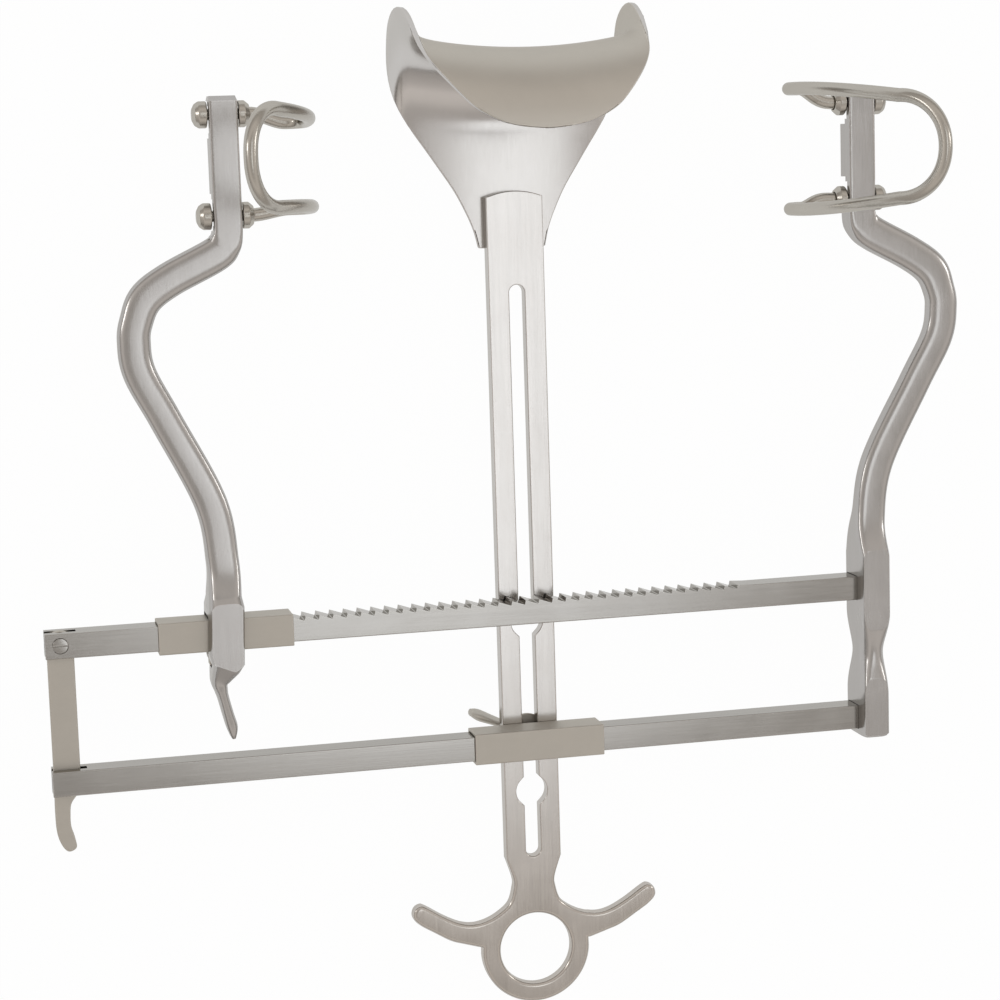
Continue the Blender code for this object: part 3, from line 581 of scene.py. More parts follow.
# How much the bands, the haze and the worn edges change a steel's tone and its roughness
BAND_SHARE = 0.8
HAZE_TONE = 0.3
EDGE_TONE = 0.5
SCRATCH_ROUGH = 0.14
HAZE_ROUGH = 0.12
EDGE_ROUGH = -0.08

# Painted shade: the shank's colour is made darker and warmer between two depths below the ratchet bar, in
# millimetres, for the dimmer light on the lower shank and handle
PAINTED_SHADE_FROM = 20.0
PAINTED_SHADE_TO = 110.0
PAINTED_SHADE_TINT = (0.88, 0.85, 0.81)


def socket(group, name, kind, way, value=None):
    made = group.interface.new_socket(name=name, in_out=way, socket_type=kind)
    if value is not None:
        made.default_value = value


def node(tree, kind, **values):
    made = tree.nodes.new(kind)
    for key, value in values.items():
        setattr(made, key, value)
    return made


def dial(made, **values):
    # Sets plain inputs of a node by name, with an underscore for each space.
    for key, value in values.items():
        made.inputs[key.replace("_", " ")].default_value = value
    return made


def maths(tree, operation, a, b=None, c=None, clamp=False):
    made = node(tree, "ShaderNodeMath", operation=operation, use_clamp=clamp)
    for place, value in zip(made.inputs, (a, b, c)):
        if isinstance(value, (int, float)):
            place.default_value = value
        elif value is not None:
            tree.links.new(value, place)
    return made.outputs[0]


def new_group(name, output):
    group = bpy.data.node_groups.new(name, "ShaderNodeTree")
    socket(group, output, "NodeSocketFloat", "OUTPUT")
    return group, node(group, "NodeGroupInput"), node(group, "NodeGroupOutput")


def brushed_grain():
    # Fine scratches along one direction, with softer bands among them.
    group, start, end = new_group("brushed_grain", "Scratch")
    socket(group, "Band", "NodeSocketFloat", "OUTPUT")
    socket(group, "Place", "NodeSocketVector", "INPUT")
    socket(group, "Stretch", "NodeSocketVector", "INPUT", (1.0, 1.0, 1.0))
    scaled = node(group, "ShaderNodeVectorMath", operation="MULTIPLY")
    group.links.new(start.outputs["Place"], scaled.inputs[0])
    group.links.new(start.outputs["Stretch"], scaled.inputs[1])
    for name, scale, detail in (("Scratch", 1.0, 3.0), ("Band", 0.16, 2.0)):
        noise = dial(node(group, "ShaderNodeTexNoise"), Scale=scale, Detail=detail, Roughness=0.6)
        group.links.new(scaled.outputs[0], noise.inputs["Vector"])
        group.links.new(noise.outputs["Fac"], end.inputs[name])


def handled_haze():
    # Slow patches, as hands and cloths leave on satin steel.
    group, start, end = new_group("handled_haze", "Haze")
    socket(group, "Place", "NodeSocketVector", "INPUT")
    socket(group, "Size", "NodeSocketFloat", "INPUT", 40.0)
    noise = dial(node(group, "ShaderNodeTexNoise"), Detail=4.0, Distortion=0.6)
    group.links.new(start.outputs["Place"], noise.inputs["Vector"])
    group.links.new(start.outputs["Size"], noise.inputs["Scale"])
    group.links.new(noise.outputs["Fac"], end.inputs["Haze"])


def worn_edge():
    # One along rounded edges, where the finish is rubbed brighter.
    group, start, end = new_group("worn_edge", "Edge")
    socket(group, "Reach", "NodeSocketFloat", "INPUT", 0.0004)
    bevel = node(group, "ShaderNodeBevel", samples=4)
    place = node(group, "ShaderNodeNewGeometry")
    dot = node(group, "ShaderNodeVectorMath", operation="DOT_PRODUCT")
    group.links.new(start.outputs["Reach"], bevel.inputs["Radius"])
    group.links.new(bevel.outputs["Normal"], dot.inputs[0])
    group.links.new(place.outputs["Normal"], dot.inputs[1])
    lost = maths(group, "SUBTRACT", 1.0, dot.outputs["Value"])
    group.links.new(maths(group, "MULTIPLY", lost, EDGE_GAIN, clamp=True), end.inputs["Edge"])


GROUPS = brushed_grain, handled_haze, worn_edge


def layered(tree, value, shares):
    # A value that takes a share of each mask, kept from nought to one.
    for mask, share in shares:
        value = maths(tree, "MULTIPLY_ADD", mask, share, value)
    value.node.use_clamp = True
    return value


class Steel:
    def __init__(self, name, slot, tint, rough, along, grain, depth, contrast, handle_shade=False):
        self.slot = slot
        self.material = bpy.data.materials.new(name)
        self.material.use_nodes = True
        tree = self.material.node_tree
        shader = dial(tree.nodes["Principled BSDF"], Metallic=1.0, Specular_Tint=SHEEN)
        place = node(tree, "ShaderNodeTexCoord").outputs["Object"]

        placed = []
        for kind in GROUPS:
            placed.append(node(tree, "ShaderNodeGroup", node_tree=bpy.data.node_groups[kind.__name__]))
        grains, hazes, edges = placed
        length, width = grain
        dial(grains, Stretch=[1 / (length if a == along else width) for a in "XYZ"])
        dial(hazes, Size=HAZE_SIZE)
        for made in (grains, hazes):
            tree.links.new(place, made.inputs["Place"])
        scratch, band = grains.outputs["Scratch"], grains.outputs["Band"]
        haze, edge = hazes.outputs["Haze"], edges.outputs["Edge"]

        middle = 0.5 - contrast / 2 - contrast * BAND_SHARE / 2 - HAZE_TONE / 2
        shares = (scratch, contrast), (band, contrast * BAND_SHARE), (haze, HAZE_TONE), (edge, EDGE_TONE)
        ramp = node(tree, "ShaderNodeValToRGB")
        for stop, factor in zip(ramp.color_ramp.elements, (1 - TONE_SPREAD, 1 + TONE_SPREAD)):
            stop.color = (*[min(c * factor, 0.95) for c in tint], 1.0)
        tree.links.new(layered(tree, middle, shares), ramp.inputs["Fac"])
        # Only the shank gets painted shade towards its handle.
        shade = self.dulled(tree, place, ramp.outputs["Color"]) if handle_shade else ramp.outputs["Color"]
        tree.links.new(shade, shader.inputs["Base Color"])

        shares = (scratch, SCRATCH_ROUGH), (haze, HAZE_ROUGH), (edge, EDGE_ROUGH)
        middle = rough - SCRATCH_ROUGH / 2 - HAZE_ROUGH / 2
        tree.links.new(layered(tree, middle, shares), shader.inputs["Roughness"])

        bump = dial(node(tree, "ShaderNodeBump"), Strength=BUMP_STRENGTH, Distance=depth)
        tree.links.new(scratch, bump.inputs["Height"])
        tree.links.new(bump.outputs["Normal"], shader.inputs["Normal"])

    # Painted shade: multiplies the base colour darker and warmer from below the bar down to the handle.
    def dulled(self, tree, place, tint):
        axes = node(tree, "ShaderNodeSeparateXYZ")
        reach = node(tree, "ShaderNodeMapRange", interpolation_type="SMOOTHSTEP")
        dial(reach, From_Min=HOME.y - PAINTED_SHADE_FROM * MM, From_Max=HOME.y - PAINTED_SHADE_TO * MM)
        mix = dial(node(tree, "ShaderNodeMix", data_type="RGBA", blend_type="MULTIPLY"), B=(*PAINTED_SHADE_TINT, 1.0))
        tree.links.new(place, axes.inputs[0])
        tree.links.new(axes.outputs["Y"], reach.inputs["Value"])
        tree.links.new(reach.outputs["Result"], mix.inputs["Factor"])
        tree.links.new(tint, mix.inputs["A"])
        return mix.outputs["Result"]


STEELS = {}


def steels(context):
    # Each steel's slot, colour, roughness, grain's way and size, bump depth and contrast, and for the shank
    # the painted shade towards the handle. All are made once.
    if STEELS:
        return STEELS
    for make in GROUPS:
        make()
    f = context.scene.retractor_finish
    long_grain = (f.grain_length, f.grain_width)

    # Makes a lighter or darker copy of a steel's colour, which paints light and shade into that steel.
    def shade(base, factor):
        return [c * factor for c in base]

    satin, warm, rough = f.satin_colour, f.warm_colour, f.warm_roughness
    kinds = {
        "bar": ("bar_steel", f.bar_colour, f.bar_roughness, "X", long_grain, 0.00002, 0.35),
        "arm": ("satin_steel", satin, f.satin_roughness, "Y", (0.006, 0.0003), 0.00002, 0.28),
        # The shank and the sheet are the satin steel painted lighter. The lip is the warm steel painted
        # lighter and the wires the warm steel painted darker, to match how bright each looks under the light.
        "shank": ("satin_steel", shade(satin, 1.33), 0.2, "Y", (0.009, 0.0003), 0.00003, 0.4, True),
        "sheet": ("satin_steel", shade(satin, 1.25), 0.19, "Y", (0.005, 0.0002), 0.000003, 0.1),
        "lip": ("satin_steel", shade(warm, 1.08), 0.46, "X", EVEN_GRAIN, 0.000003, 0.1),
        "warm": ("warm_steel", warm, rough + 0.06, "X", EVEN_GRAIN, 0.00001, 0.14),
        "wire": ("warm_steel", shade(warm, 0.92), rough - 0.18, "Z", EVEN_GRAIN, 0.00001, 0.1),
    }
    for name, kind in kinds.items():
        STEELS[name] = Steel(name + "_steel", *kind)
    return STEELS


# Frame bars


def ratchet_outline():
    right = POST_X - POST_W / 2 + BAR_SEAT
    outline = [(BARS_LEFT, 0.0), (right, 0.0), (right, BAR_H)]
    outline += [(RACK_LAST + RACK_PITCH, BAR_H - RACK_DEPTH * 0.15)]
    for k in reversed(range(RACK_TEETH)):
        x = RACK_FIRST + k * RACK_PITCH
        outline += [(x + 0.12, BAR_H - 0.03), (x, BAR_H - 0.1), (x - 0.22, BAR_H - RACK_DEPTH + 0.15)]
        outline += [(x - 0.42, BAR_H - RACK_DEPTH)]
    return outline + [(RACK_FIRST - RACK_PITCH * 0.6, BAR_H), (BARS_LEFT, BAR_H)]


class RETRACTOR_OT_bars(bpy.types.Operator):
    """Builds the ratchet bar and the plain bar"""

    bl_idname = "retractor.bars"
    bl_label = "Frame bars"

    def execute(self, context):
        s = context.scene.retractor_sizes
        steel = steels(context)["bar"]
        gate_back, gate_front = GATE_FRONT - GATE_T - FIT, GATE_FRONT + FIT
        fork = block((BARS_LEFT - 1, -1, gate_back), (BARS_LEFT + GATE_W + FORK_PAST, BAR_H + 1, gate_front))
        head = bore(GATE_X, GATE_Y, SCREW_R + FIT / 2, -SCREW_HEAD_T - FIT, 1)
        hole = bore(GATE_X, GATE_Y, SCREW_SHANK_R + FIT / 2, -BAR_T - 1, 1)
        soft = s.edge_round / MM

        def edge(x, y):
            toothed = y > BAR_H / 2 and RACK_FIRST - RACK_PITCH < x < RACK_LAST + 1
            return TOOTH_EDGE if toothed else soft

        bar = rounded_plate(ratchet_outline(), [], -BAR_T, 0.0, edge)
        finish_piece(
            "ratchet_bar_finished", bar, "base", ["ratchet_bar"], steel, cuts=(fork, head, hole), sharp=25
        )
        right = POST_X - POST_W / 2 + BAR_SEAT
        top = PLAIN_Y + BAR_H
        ends = [(BARS_LEFT, PLAIN_Y), (right, PLAIN_Y), (right, top), (BARS_LEFT, top)]
        bar = rounded_plate(ends, [], -BAR_T, 0.0, lambda x, y: soft)
        corner = (BARS_LEFT + GATE_W + SLOT_PAST, top + 1, gate_front)
        slot = block((BARS_LEFT - 1, PLAIN_Y - 1, gate_back), corner)
        finish_piece("plain_bar_finished", bar, "base", ["plain_bar"], steel, cuts=(slot,), sharp=25)
        return {"FINISHED"}


# Gate link and screw


def gate_outline():
    left, right = GATE_X - GATE_W / 2, GATE_X + GATE_W / 2
    outline = arc(GATE_X, GATE_Y, GATE_W / 2, 0, 180, 40) + [(left, PLAIN_Y + BAR_H)]
    hook = [(0.0, -0.2), (-0.02, 0.35), (0.02, 0.68), (0.19, 0.9), (0.42, 1.0), (0.7, 0.94)]
    hook += [(0.67, 0.78), (0.55, 0.57), (0.54, 0.38), (0.6, 0.17), (0.87, 0.0), (1.0, -0.12)]
    hook = [(left + u * GATE_W, PLAIN_Y - v * HOOK_DROP) for u, v in hook]
    return outline + spline(hook, 12) + [(right, PLAIN_Y + BAR_H)]


class RETRACTOR_OT_gate(bpy.types.Operator):
    """Builds the gate link with its thumb hook, and the slotted screw it turns on"""

    bl_idname = "retractor.gate"
    bl_label = "Gate link and screw"

    def execute(self, context):
        warm, bar = steels(context)["warm"], steels(context)["bar"]
        link = rounded_plate(gate_outline(), [], GATE_FRONT - GATE_T, GATE_FRONT, lambda x, y: GATE_EDGE)
        hole = bore(GATE_X, GATE_Y, SCREW_SHANK_R + FIT / 2, -BAR_T, 2)
        finish_piece("gate_link_finished", link, "gate", ["gate_link"], warm, cuts=(hole,), sharp=25)
        profile = [(0, SCREW_PROUD), (SCREW_R, SCREW_PROUD), (SCREW_R, -SCREW_HEAD_T)]
        profile += [(SCREW_SHANK_R, -SCREW_HEAD_T), (SCREW_SHANK_R, -BAR_T), (0, -BAR_T)]
        screw = turned(rounded(profile, 0.2), (GATE_X, GATE_Y, 0))
        low = (GATE_X - DRIVER_REACH, GATE_Y - DRIVER_W / 2, -DRIVER_DEEP)
        slot = block(low, (GATE_X + DRIVER_REACH, GATE_Y + DRIVER_W / 2, 1))
        finish_piece("gate_screw_finished", screw, "base", ["gate_screw"], bar, cuts=(slot,), sharp=50)
        return {"FINISHED"}


# Arms


def bow_rows(top_in, turn_by, centre, neck, push):
    start = POST_TOP + BOW_RUN
    rise, fall = ARM_BULGE_Y - start, neck - ARM_BULGE_Y
    bow = [(start + v * rise, u * ARM_BULGE + push) for v, u in BOW_RISE]
    bow += [(ARM_BULGE_Y + v * fall, u * ARM_BULGE + push) for v, u in BOW_FALL]
    rows = []
    for y, u in bow:
        swing = Matrix.Rotation(turn_by, 2) @ Vector((u, y - centre))
        rows.append((swing.y + centre, swing.x))
    for share in (1.0, 0.5, 0.0):
        a = math.radians(NECK_TURN * share)
        rows.append((neck - NECK_R * math.sin(a), NECK_R * (1 - math.cos(a)) - top_in))
    return rows + [(NOTCH_Y + NOTCH_H / 2, -top_in)]


def arm_rows(lower, curve, top_in, top, wide):
    w, f, b, c, t = ARM_W / 2, 0.0, -ARM_T, 1.0 - ARM_T, TOP_W / 2
    shape = [(w - 0.1, f + 1.6, b, 5, 2.6), (w, f + 0.3, c, 4, 2.4)]
    shape += [(w - 0.1, f, c, 3.6, 2.3), (w, f, c, 3.4, 2.2), (w, f, c, 3.4, 2.2)]
    shape += [(w, f, c, 3.4, 2.2), (w + wide, f, c, 3.4, 2.2), (w + wide, f, c, 3.4, 2.3)]
    shape += [(w + wide, f, c, 3.6, 2.6), (w + wide - 0.3, f, b, 5, 4), (t, f, b, 12, 12), (t, f, b, *BOXED)]
    rows = list(lower) + [(y, u, *s) for (y, u), s in zip(curve, shape)]
    smooth = spline(rows, 14)
    smooth += [(top - 3.0, -top_in, t, f, b, *BOXED), (top - 1.6, -top_in, t, f, b, *BOXED)]
    return smooth + [(top, -top_in, t - 0.4, f - 2.2, b + 0.4, *BOXED)]


def notches(x, lift=0.0):
    tools = []
    for k in (0, 1):
        y = NOTCH_Y + lift + k * NOTCH_STEP
        floor = -ARM_T + NOTCH_DEEP
        bm = block((x - TOP_W, y - NOTCH_H / 2, -ARM_T - 3), (x + TOP_W, y + NOTCH_H / 2, floor))
        edges = [e for e in bm.edges if all(v.co.z > floor - 0.1 for v in e.verts)]
        edges = [e for e in edges if abs(e.verts[0].co.x - e.verts[1].co.x) > 1]
        bmesh.ops.bevel(bm, geom=edges, offset=NOTCH_ROUND, segments=8, affect="EDGES")
        tools.append(bm)
    return tools


def pad_tool(x, low, front):
    return block((x - ARM_W, low - 2, front), (x + ARM_W, POST_TOP + BOW_RUN, front + 9))


def fixed_arm_shape():
    w, f, b = POST_W / 2, POST_FRONT + PAD_CROWN, POST_BACK
    low, top = PLAIN_Y - POST_FOOT, PLAIN_Y + BAR_H + POST_OVER
    waist = 0.3, WAIST_W / 2, f - 2.4, b + 1.4, 2.4, 4
    keys = [(low, 0, w - 0.9, f - 1.9, b + 0.8, 6, 8), (low + 0.4, 0, w - 0.3, f - 1.1, b + 0.3, 6, 8)]
    keys += [(low + 1.4, 0, w, f, b, *BLOCKY), (top, 0, w, f, b, *BLOCKY)]
    keys.append(((top - POST_OVER) / 2, *waist))
    out = UPPER_POST_WIDE
    keys += [(y, out, w + out, f, b, *BLOCKY) for y in (-POST_OVER, POST_TOP)]
    rows = []
    for a, c in zip(keys, keys[1:]):
        rows += [a] + (eased(a, c, 14) if a[2] != c[2] else [])
    curve = bow_rows(FIXED_TOP_IN, 0.0, 0.0, NECK_Y - FIXED_NECK_DROP, FIXED_BOW_OUT)
    upper = arm_rows(keys[-1:], curve, FIXED_TOP_IN, TOP_Y, FIXED_BOW_WIDE)
    return swept(rows + upper, 1, POST_X)


class RETRACTOR_OT_fixed_arm(bpy.types.Operator):
    """Builds the fixed arm with its post, its pads and its notched top"""

    bl_idname = "retractor.fixed_arm"
    bl_label = "Fixed arm"

    def execute(self, context):
        cuts = []
        for y in (0.0, PLAIN_Y):
            low = (POST_X - POST_W, y - FIT / 2, -BAR_T - FIT / 2)
            cuts.append(block(low, (POST_X - POST_W / 2 + BAR_SEAT + FIT, y + BAR_H + FIT / 2, FIT / 2)))
        cuts.append(pad_tool(POST_X, PLAIN_Y - POST_FOOT, POST_FRONT))
        cuts += notches(FIXED_TOP_X)
        steel = steels(context)["arm"]
        shape = fixed_arm_shape()
        finish_piece("fixed_arm_finished", shape, "base", ["fixed_arm"], steel, cuts=cuts, sharp=24)
        return {"FINISHED"}


def sliding_arm_shape():
    w, f, b, e = BLOCK_W / 2, BLOCK_FRONT + PAD_CROWN, BLOCK_BACK, -BLOCK_SHIFT
    floor = -SLIDE - SLEEVE_WALL
    tip = floor - 5.0 - LEVER_LEN
    rows = [(tip, -3.1, 0.6, -1.2, -5.0, 3, 3), (tip + 1.5, -2.9, 1.2, -0.5, -5.6, 3, 3)]
    rows += [(tip + 4.0, -2.5, 1.8, 0.1, -6.4, 3, 3), (tip + 8.0, -1.3, 1.8, 0.7, -7.4, 3, 3)]
    rows += [(tip + 13.0, 0.1, 1.8, 1.5, -8.4, 3, 3), (tip + 16.0, 0.9, 2.1, 2.0, -9.0, 3, 3)]
    rows += [(tip + 19.0, 1.3, 2.8, 2.6, -9.6, 4, 4), (floor - 5.2, e + 0.1, w - 1.3, f - 0.8, b + 0.6, 6, 7)]
    lever = spline(rows, 10)
    top = BAR_H + SLIDE + SLEEVE_WALL + 3.4
    middle = [(floor - 3.9, e - 0.4, w - 0.45, f, b, *BLOCKY)]
    middle += [(y, e, w, f, b, *BLOCKY) for y in (floor - 0.3, top, top + 0.4)]
    upper = [(top + 3.5, e / 2, w - 0.4, f - 1.5, b + 2.2, 5, 5)]
    turn = block_turn()
    rows = []
    for y, u, *rest in lever + middle + upper:
        p = turn @ Vector((SLIDER_X - u, y, 0))
        rows.append((p.y, SLIDER_X - p.x, *rest))
    curve = bow_rows(SLIDE_TOP_IN, TILT, BAR_H / 2, NECK_Y, SLIDE_BOW_OUT)
    above = arm_rows(rows[-1:], curve, SLIDE_TOP_IN, TOP_LEFT, SLIDE_BOW_WIDE)
    return swept(rows[:-1] + above, -1, SLIDER_X)


def block_turn():
    turn = Matrix.Translation((SLIDER_X, BAR_H / 2, 0))
    return turn @ Matrix.Rotation(-TILT, 4, "Z") @ turn.inverted()


def pawl():
    reach = BAR_H - PAWL_BITE
    top = BAR_H + SLEEVE_WALL + BLOCK_PLAY + 2
    tooth = [(PAWL_X, reach), (PAWL_X, top), (PAWL_X - PAWL_W, top)]
    tooth += [(PAWL_X - PAWL_W, reach + RACK_DEPTH / RACK_PITCH * PAWL_W + 0.1)]
    return plate(tooth, MID_Z - PAWL_T / 2, MID_Z + PAWL_T / 2)


class RETRACTOR_OT_sliding_arm(bpy.types.Operator):
    """Builds the sliding arm with its block, finger lever, pawl and notched top, and keeps its pin"""

    bl_idname = "retractor.sliding_arm"
    bl_label = "Sliding arm"

    def execute(self, context):
        steel = steels(context)["arm"]
        around = SLIDE + SLEEVE_WALL
        floor = -around
        window = block(
            (SLIDER_X - BLOCK_W, floor - BLOCK_PLAY, -BAR_T - around - FIT),
            (SLIDER_X + BLOCK_W, BAR_H + around + BLOCK_PLAY, around + FIT),
        )
        window.transform(block_turn())
        low = floor - PIVOT_DROP - PIVOT_R - LUG_PAD - FIT
        slot = block(
            (PIVOT_X - LUG_W / 2 - LUG_PAD, low - 0.6, MID_Z - LUG_T / 2 - FIT),
            (PIVOT_X + LUG_W / 2 + LUG_PAD, 2.0, MID_Z + LUG_T / 2 + FIT),
        )
        cuts = [window, slot, bore(PIVOT_X, floor - PIVOT_DROP, PIVOT_R + FIT / 2, -11.2, 1.8)]
        cuts += [pad_tool(SLIDER_X, floor - LEVER_LEN, BLOCK_FRONT)] + notches(SLIDE_TOP_X, HEAD_LIFT)
        shape = sliding_arm_shape()
        arm = finish_piece(
            "sliding_arm_finished", shape, "moving_arm", ["sliding_arm"], steel, cuts=cuts, sharp=24
        )
        tooth = finish_piece("sliding_arm_pawl", pawl(), "moving_arm", [], steel, bevel=0.0001)
        tooth.parent = arm
        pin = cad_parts["arm_pin"].data.materials
        pin.clear()
        pin.append(steels(context)["bar"].material)
        return {"FINISHED"}


# Slider sleeve and clamp


class RETRACTOR_OT_sleeves(bpy.types.Operator):
    """Builds the slider's sleeve with its pivot lug, and the clamp sleeve of the centre blade"""

    bl_idname = "retractor.sleeves"
    bl_label = "Slider sleeve and clamp"

    def execute(self, context):
        steel = steels(context)["warm"]
        edge = context.scene.retractor_sizes.edge_round * FOLD_ROUND
        shell, passage = hollow_bar(SLEEVE_LEFT, SLEEVE_RIGHT, 0.0, SLEEVE_WALL)
        floor = -SLIDE - SLEEVE_WALL
        lug = block(
            (PIVOT_X - LUG_W / 2, floor - PIVOT_DROP - PIVOT_R - LUG_PAD, MID_Z - LUG_T / 2),
            (PIVOT_X + LUG_W / 2, 1.0, MID_Z + LUG_T / 2),
        )
        window = block(
            (PAWL_X - PAWL_W - PAWL_SWING, BAR_H - 1, MID_Z - PAWL_T / 2 - WINDOW_PLAY),
            (PAWL_X + FIT + WINDOW_PLAY, BAR_H + 3, MID_Z + PAWL_T / 2 + WINDOW_PLAY),
        )
        pivot = bore(PIVOT_X, floor - PIVOT_DROP, PIVOT_R + FIT / 2, -20, 9)
        finish_piece(
            "slider_sleeve_finished", shell, "slider", ["slider_sleeve"], steel, joins=(lug,),
            cuts=(passage, window, pivot), bevel=edge,
        )
        shell, passage = hollow_bar(CLAMP_X - CLAMP_L / 2, CLAMP_X + CLAMP_L / 2, PLAIN_Y, CLAMP_WALL)
        hole = bore(0, WING_Y, STEM_R + FIT, CLAMP_BACK - 1, -BAR_T + 2)
        cuts = passage, hole
        finish_piece("clamp_finished", shell, "clamp", ["clamp_body"], steel, cuts=cuts, bevel=edge)
        return {"FINISHED"}


# Side blades


def blade_path(side, x, spread, toe, out, flat):
    # Half of the wire, from inside the outer knob to the middle of the toe.
    half = PIN_SPAN / 2
    clear = TOP_W / 2 + FIT + COLLAR_LEN
    lead = REACH - BEND_R
    points = [(-TOP_W / 2 - FIT - KNOB_LEN + 1.2, half, PIN_Z), (clear - 0.9, half, PIN_Z)]
    points.append((clear - 0.6, half, PIN_Z))
    for k in range(1, 17):
        t = k / 16
        late = ease(t**1.7 if side > 0 else t)
        points.append((clear + (lead - clear) * t, half + (spread - half) * late, PIN_Z))
    turn = PIN_Z + BEND_R
    for k in range(1, 13):
        a = math.radians(90) * k / 12
        points.append((lead + BEND_R * math.sin(a), spread, turn - BEND_R * math.cos(a)))
    rise = BLADE_DEPTH - turn
    end = 2 * math.atan((REACH + out) / rise)
    radius = rise / math.sin(end)
    body = radius * end - toe

    def on_arc(run, h):
        a = run / radius
        return REACH - radius * (1 - math.cos(a)), h, turn + radius * math.sin(a)

    for k in range(1, 37):
        points.append(on_arc(body * k / 36, spread + (toe - spread) * (k / 36) ** 2))
    for k in range(1, 25):
        b = math.radians(90) * k / 24
        across, along = max(math.cos(b), 0.0), math.sin(b)
        points.append(on_arc(body + toe * along ** (2 / flat), toe * across ** (2 / flat)))
    return [Vector((x - side * r, PIN_MID_Y + h, z)) for r, h, z in points]


def whole_blade(side, x, spread, toe, out, flat, sag, rise):
    # Both halves, with the pins moved down by the sag and the toe moved up by the rise.
    half = blade_path(side, x, spread, toe, out, flat)
    points = half + [Vector((p.x, 2 * PIN_MID_Y - p.y, p.z)) for p in reversed(half[:-1])]
    last = len(points) - 1
    for i, p in enumerate(points):
        t = ease((min(i, last - i) - 2) / 16)
        p.y += rise * (p.z - PIN_Z) / BLADE_DEPTH - sag * (1 - t)
    return points


def knob_profile(side, radius):
    near = TOP_W / 2 + FIT
    far = near + KNOB_LEN
    hole = PIN_R + SLIDE
    profile = [(0, far - 1.0), (hole, far - 1.0), (hole, near), (radius - 0.3, near), (radius, near + 0.3)]
    profile += [(radius, far - 2.1), (radius * 0.8, far - 0.8), (radius * 0.42, far), (0, far)]
    return [(r, side * h) for r, h in rounded(profile, 0.3)]


def collar_profile(side, radius, wire):
    near = TOP_W / 2 + FIT
    far = near + COLLAR_LEN
    hole, neck = PIN_R + SLIDE, wire + SLIDE
    profile = [(neck, far - 1.3), (hole, far - 1.3), (hole, near), (radius - 0.3, near), (radius, near + 0.3)]
    profile += [(radius, far - 1.5), (neck + 0.6, far), (neck, far), (neck, far - 1.2)]
    return [(r, side * -h) for r, h in profile[:3] + rounded(profile[3:], 0.25)]


class RETRACTOR_OT_side_blades(bpy.types.Operator):
    """Builds the two wire side blades with their knobs and collars"""

    bl_idname = "retractor.side_blades"
    bl_label = "Side blades"

    def execute(self, context):
        s = context.scene.retractor_sizes
        steel = steels(context)["wire"]
        wire, knob = s.wire_radius / MM, s.knob_radius / MM
        for label, side, x in (("right", 1, FIXED_TOP_X), ("left", -1, SLIDE_TOP_X)):
            body = label + "_blade"
            points = whole_blade(side, x, *BLADE_SHAPES[label])
            sag = BLADE_SHAPES[label][4]
            last = len(points) - 1
            mesh = tube(points, lambda i: PIN_R if min(i, last - i) < 2 else wire)
            finish_piece(body + "_wire_finished", mesh, body, [body + "_wire"], steel, sharp=60)
            for end, sign in (("upper", 1), ("lower", -1)):
                centre = (x, PIN_MID_Y - sag + sign * PIN_SPAN / 2, PIN_Z)
                profiles = {"knob": knob_profile(side, knob), "collar": collar_profile(side, knob, wire)}
                for part, profile in profiles.items():
                    name = body + "_" + end + "_" + part
                    mesh = turned(profile, centre, "X")
                    finish_piece(name + "_finished", mesh, body, [name], steel, sharp=50)
        return {"FINISHED"}


# Wing screw and washer


def threaded(radius, low, high, sides=48):
    # A stem whose radius follows a thread that climbs one pitch for each turn.
    bm = bmesh.new()
    steps = int((high - low) / THREAD_PITCH * 8)
    rings = []
    for i in range(steps + 1):
        z = low + (high - low) * i / steps
        ring = []
        for k in range(sides):
            a = 2 * math.pi * k / sides
            phase = (z / THREAD_PITCH - k / sides) % 1.0
            r = radius - THREAD_DEEP * abs(2 * phase - 1)
            ring.append(Vector((r * math.cos(a), WING_Y + r * math.sin(a), z)))
        rings.append(ring)
    loft(bm, rings)
    return bm


def wing_shape(turn_by, seat_z):
    top = seat_z - WING_SEAT
    rows = [(HUB_R - 2.6, top - HUB_T + 1.0, top, WING_T * 0.5)]
    rows += [(HUB_R + 1.5, top - HUB_T - 1.0, top, WING_T * 0.42)]
    rows += [(WING_SPAN * 0.6, top - WING_H * 0.86, top - 0.4, WING_T * 0.42)]
    rows += [(WING_SPAN * 0.85, top - WING_H, top - 1.2, WING_T * 0.5)]
    rows += [(WING_SPAN, top - WING_H + 1.6, top - 3.6, WING_T * 0.3)]
    rings = []
    for r, low, high, t in spline(rows, 12):
        mid, half = (low + high) / 2, (high - low) / 2
        ring = []
        for k in range(40):
            a = 2 * math.pi * k / 40
            ring.append(Vector((r, powered(math.cos(a), 0.8) * t, mid + half * powered(math.sin(a), 0.8))))
        rings.append(ring)
    bm = bmesh.new()
    loft(bm, rings)
    bm.transform(Matrix.Translation((0, WING_Y, 0)) @ Matrix.Rotation(turn_by, 4, "Z"))
    return bm


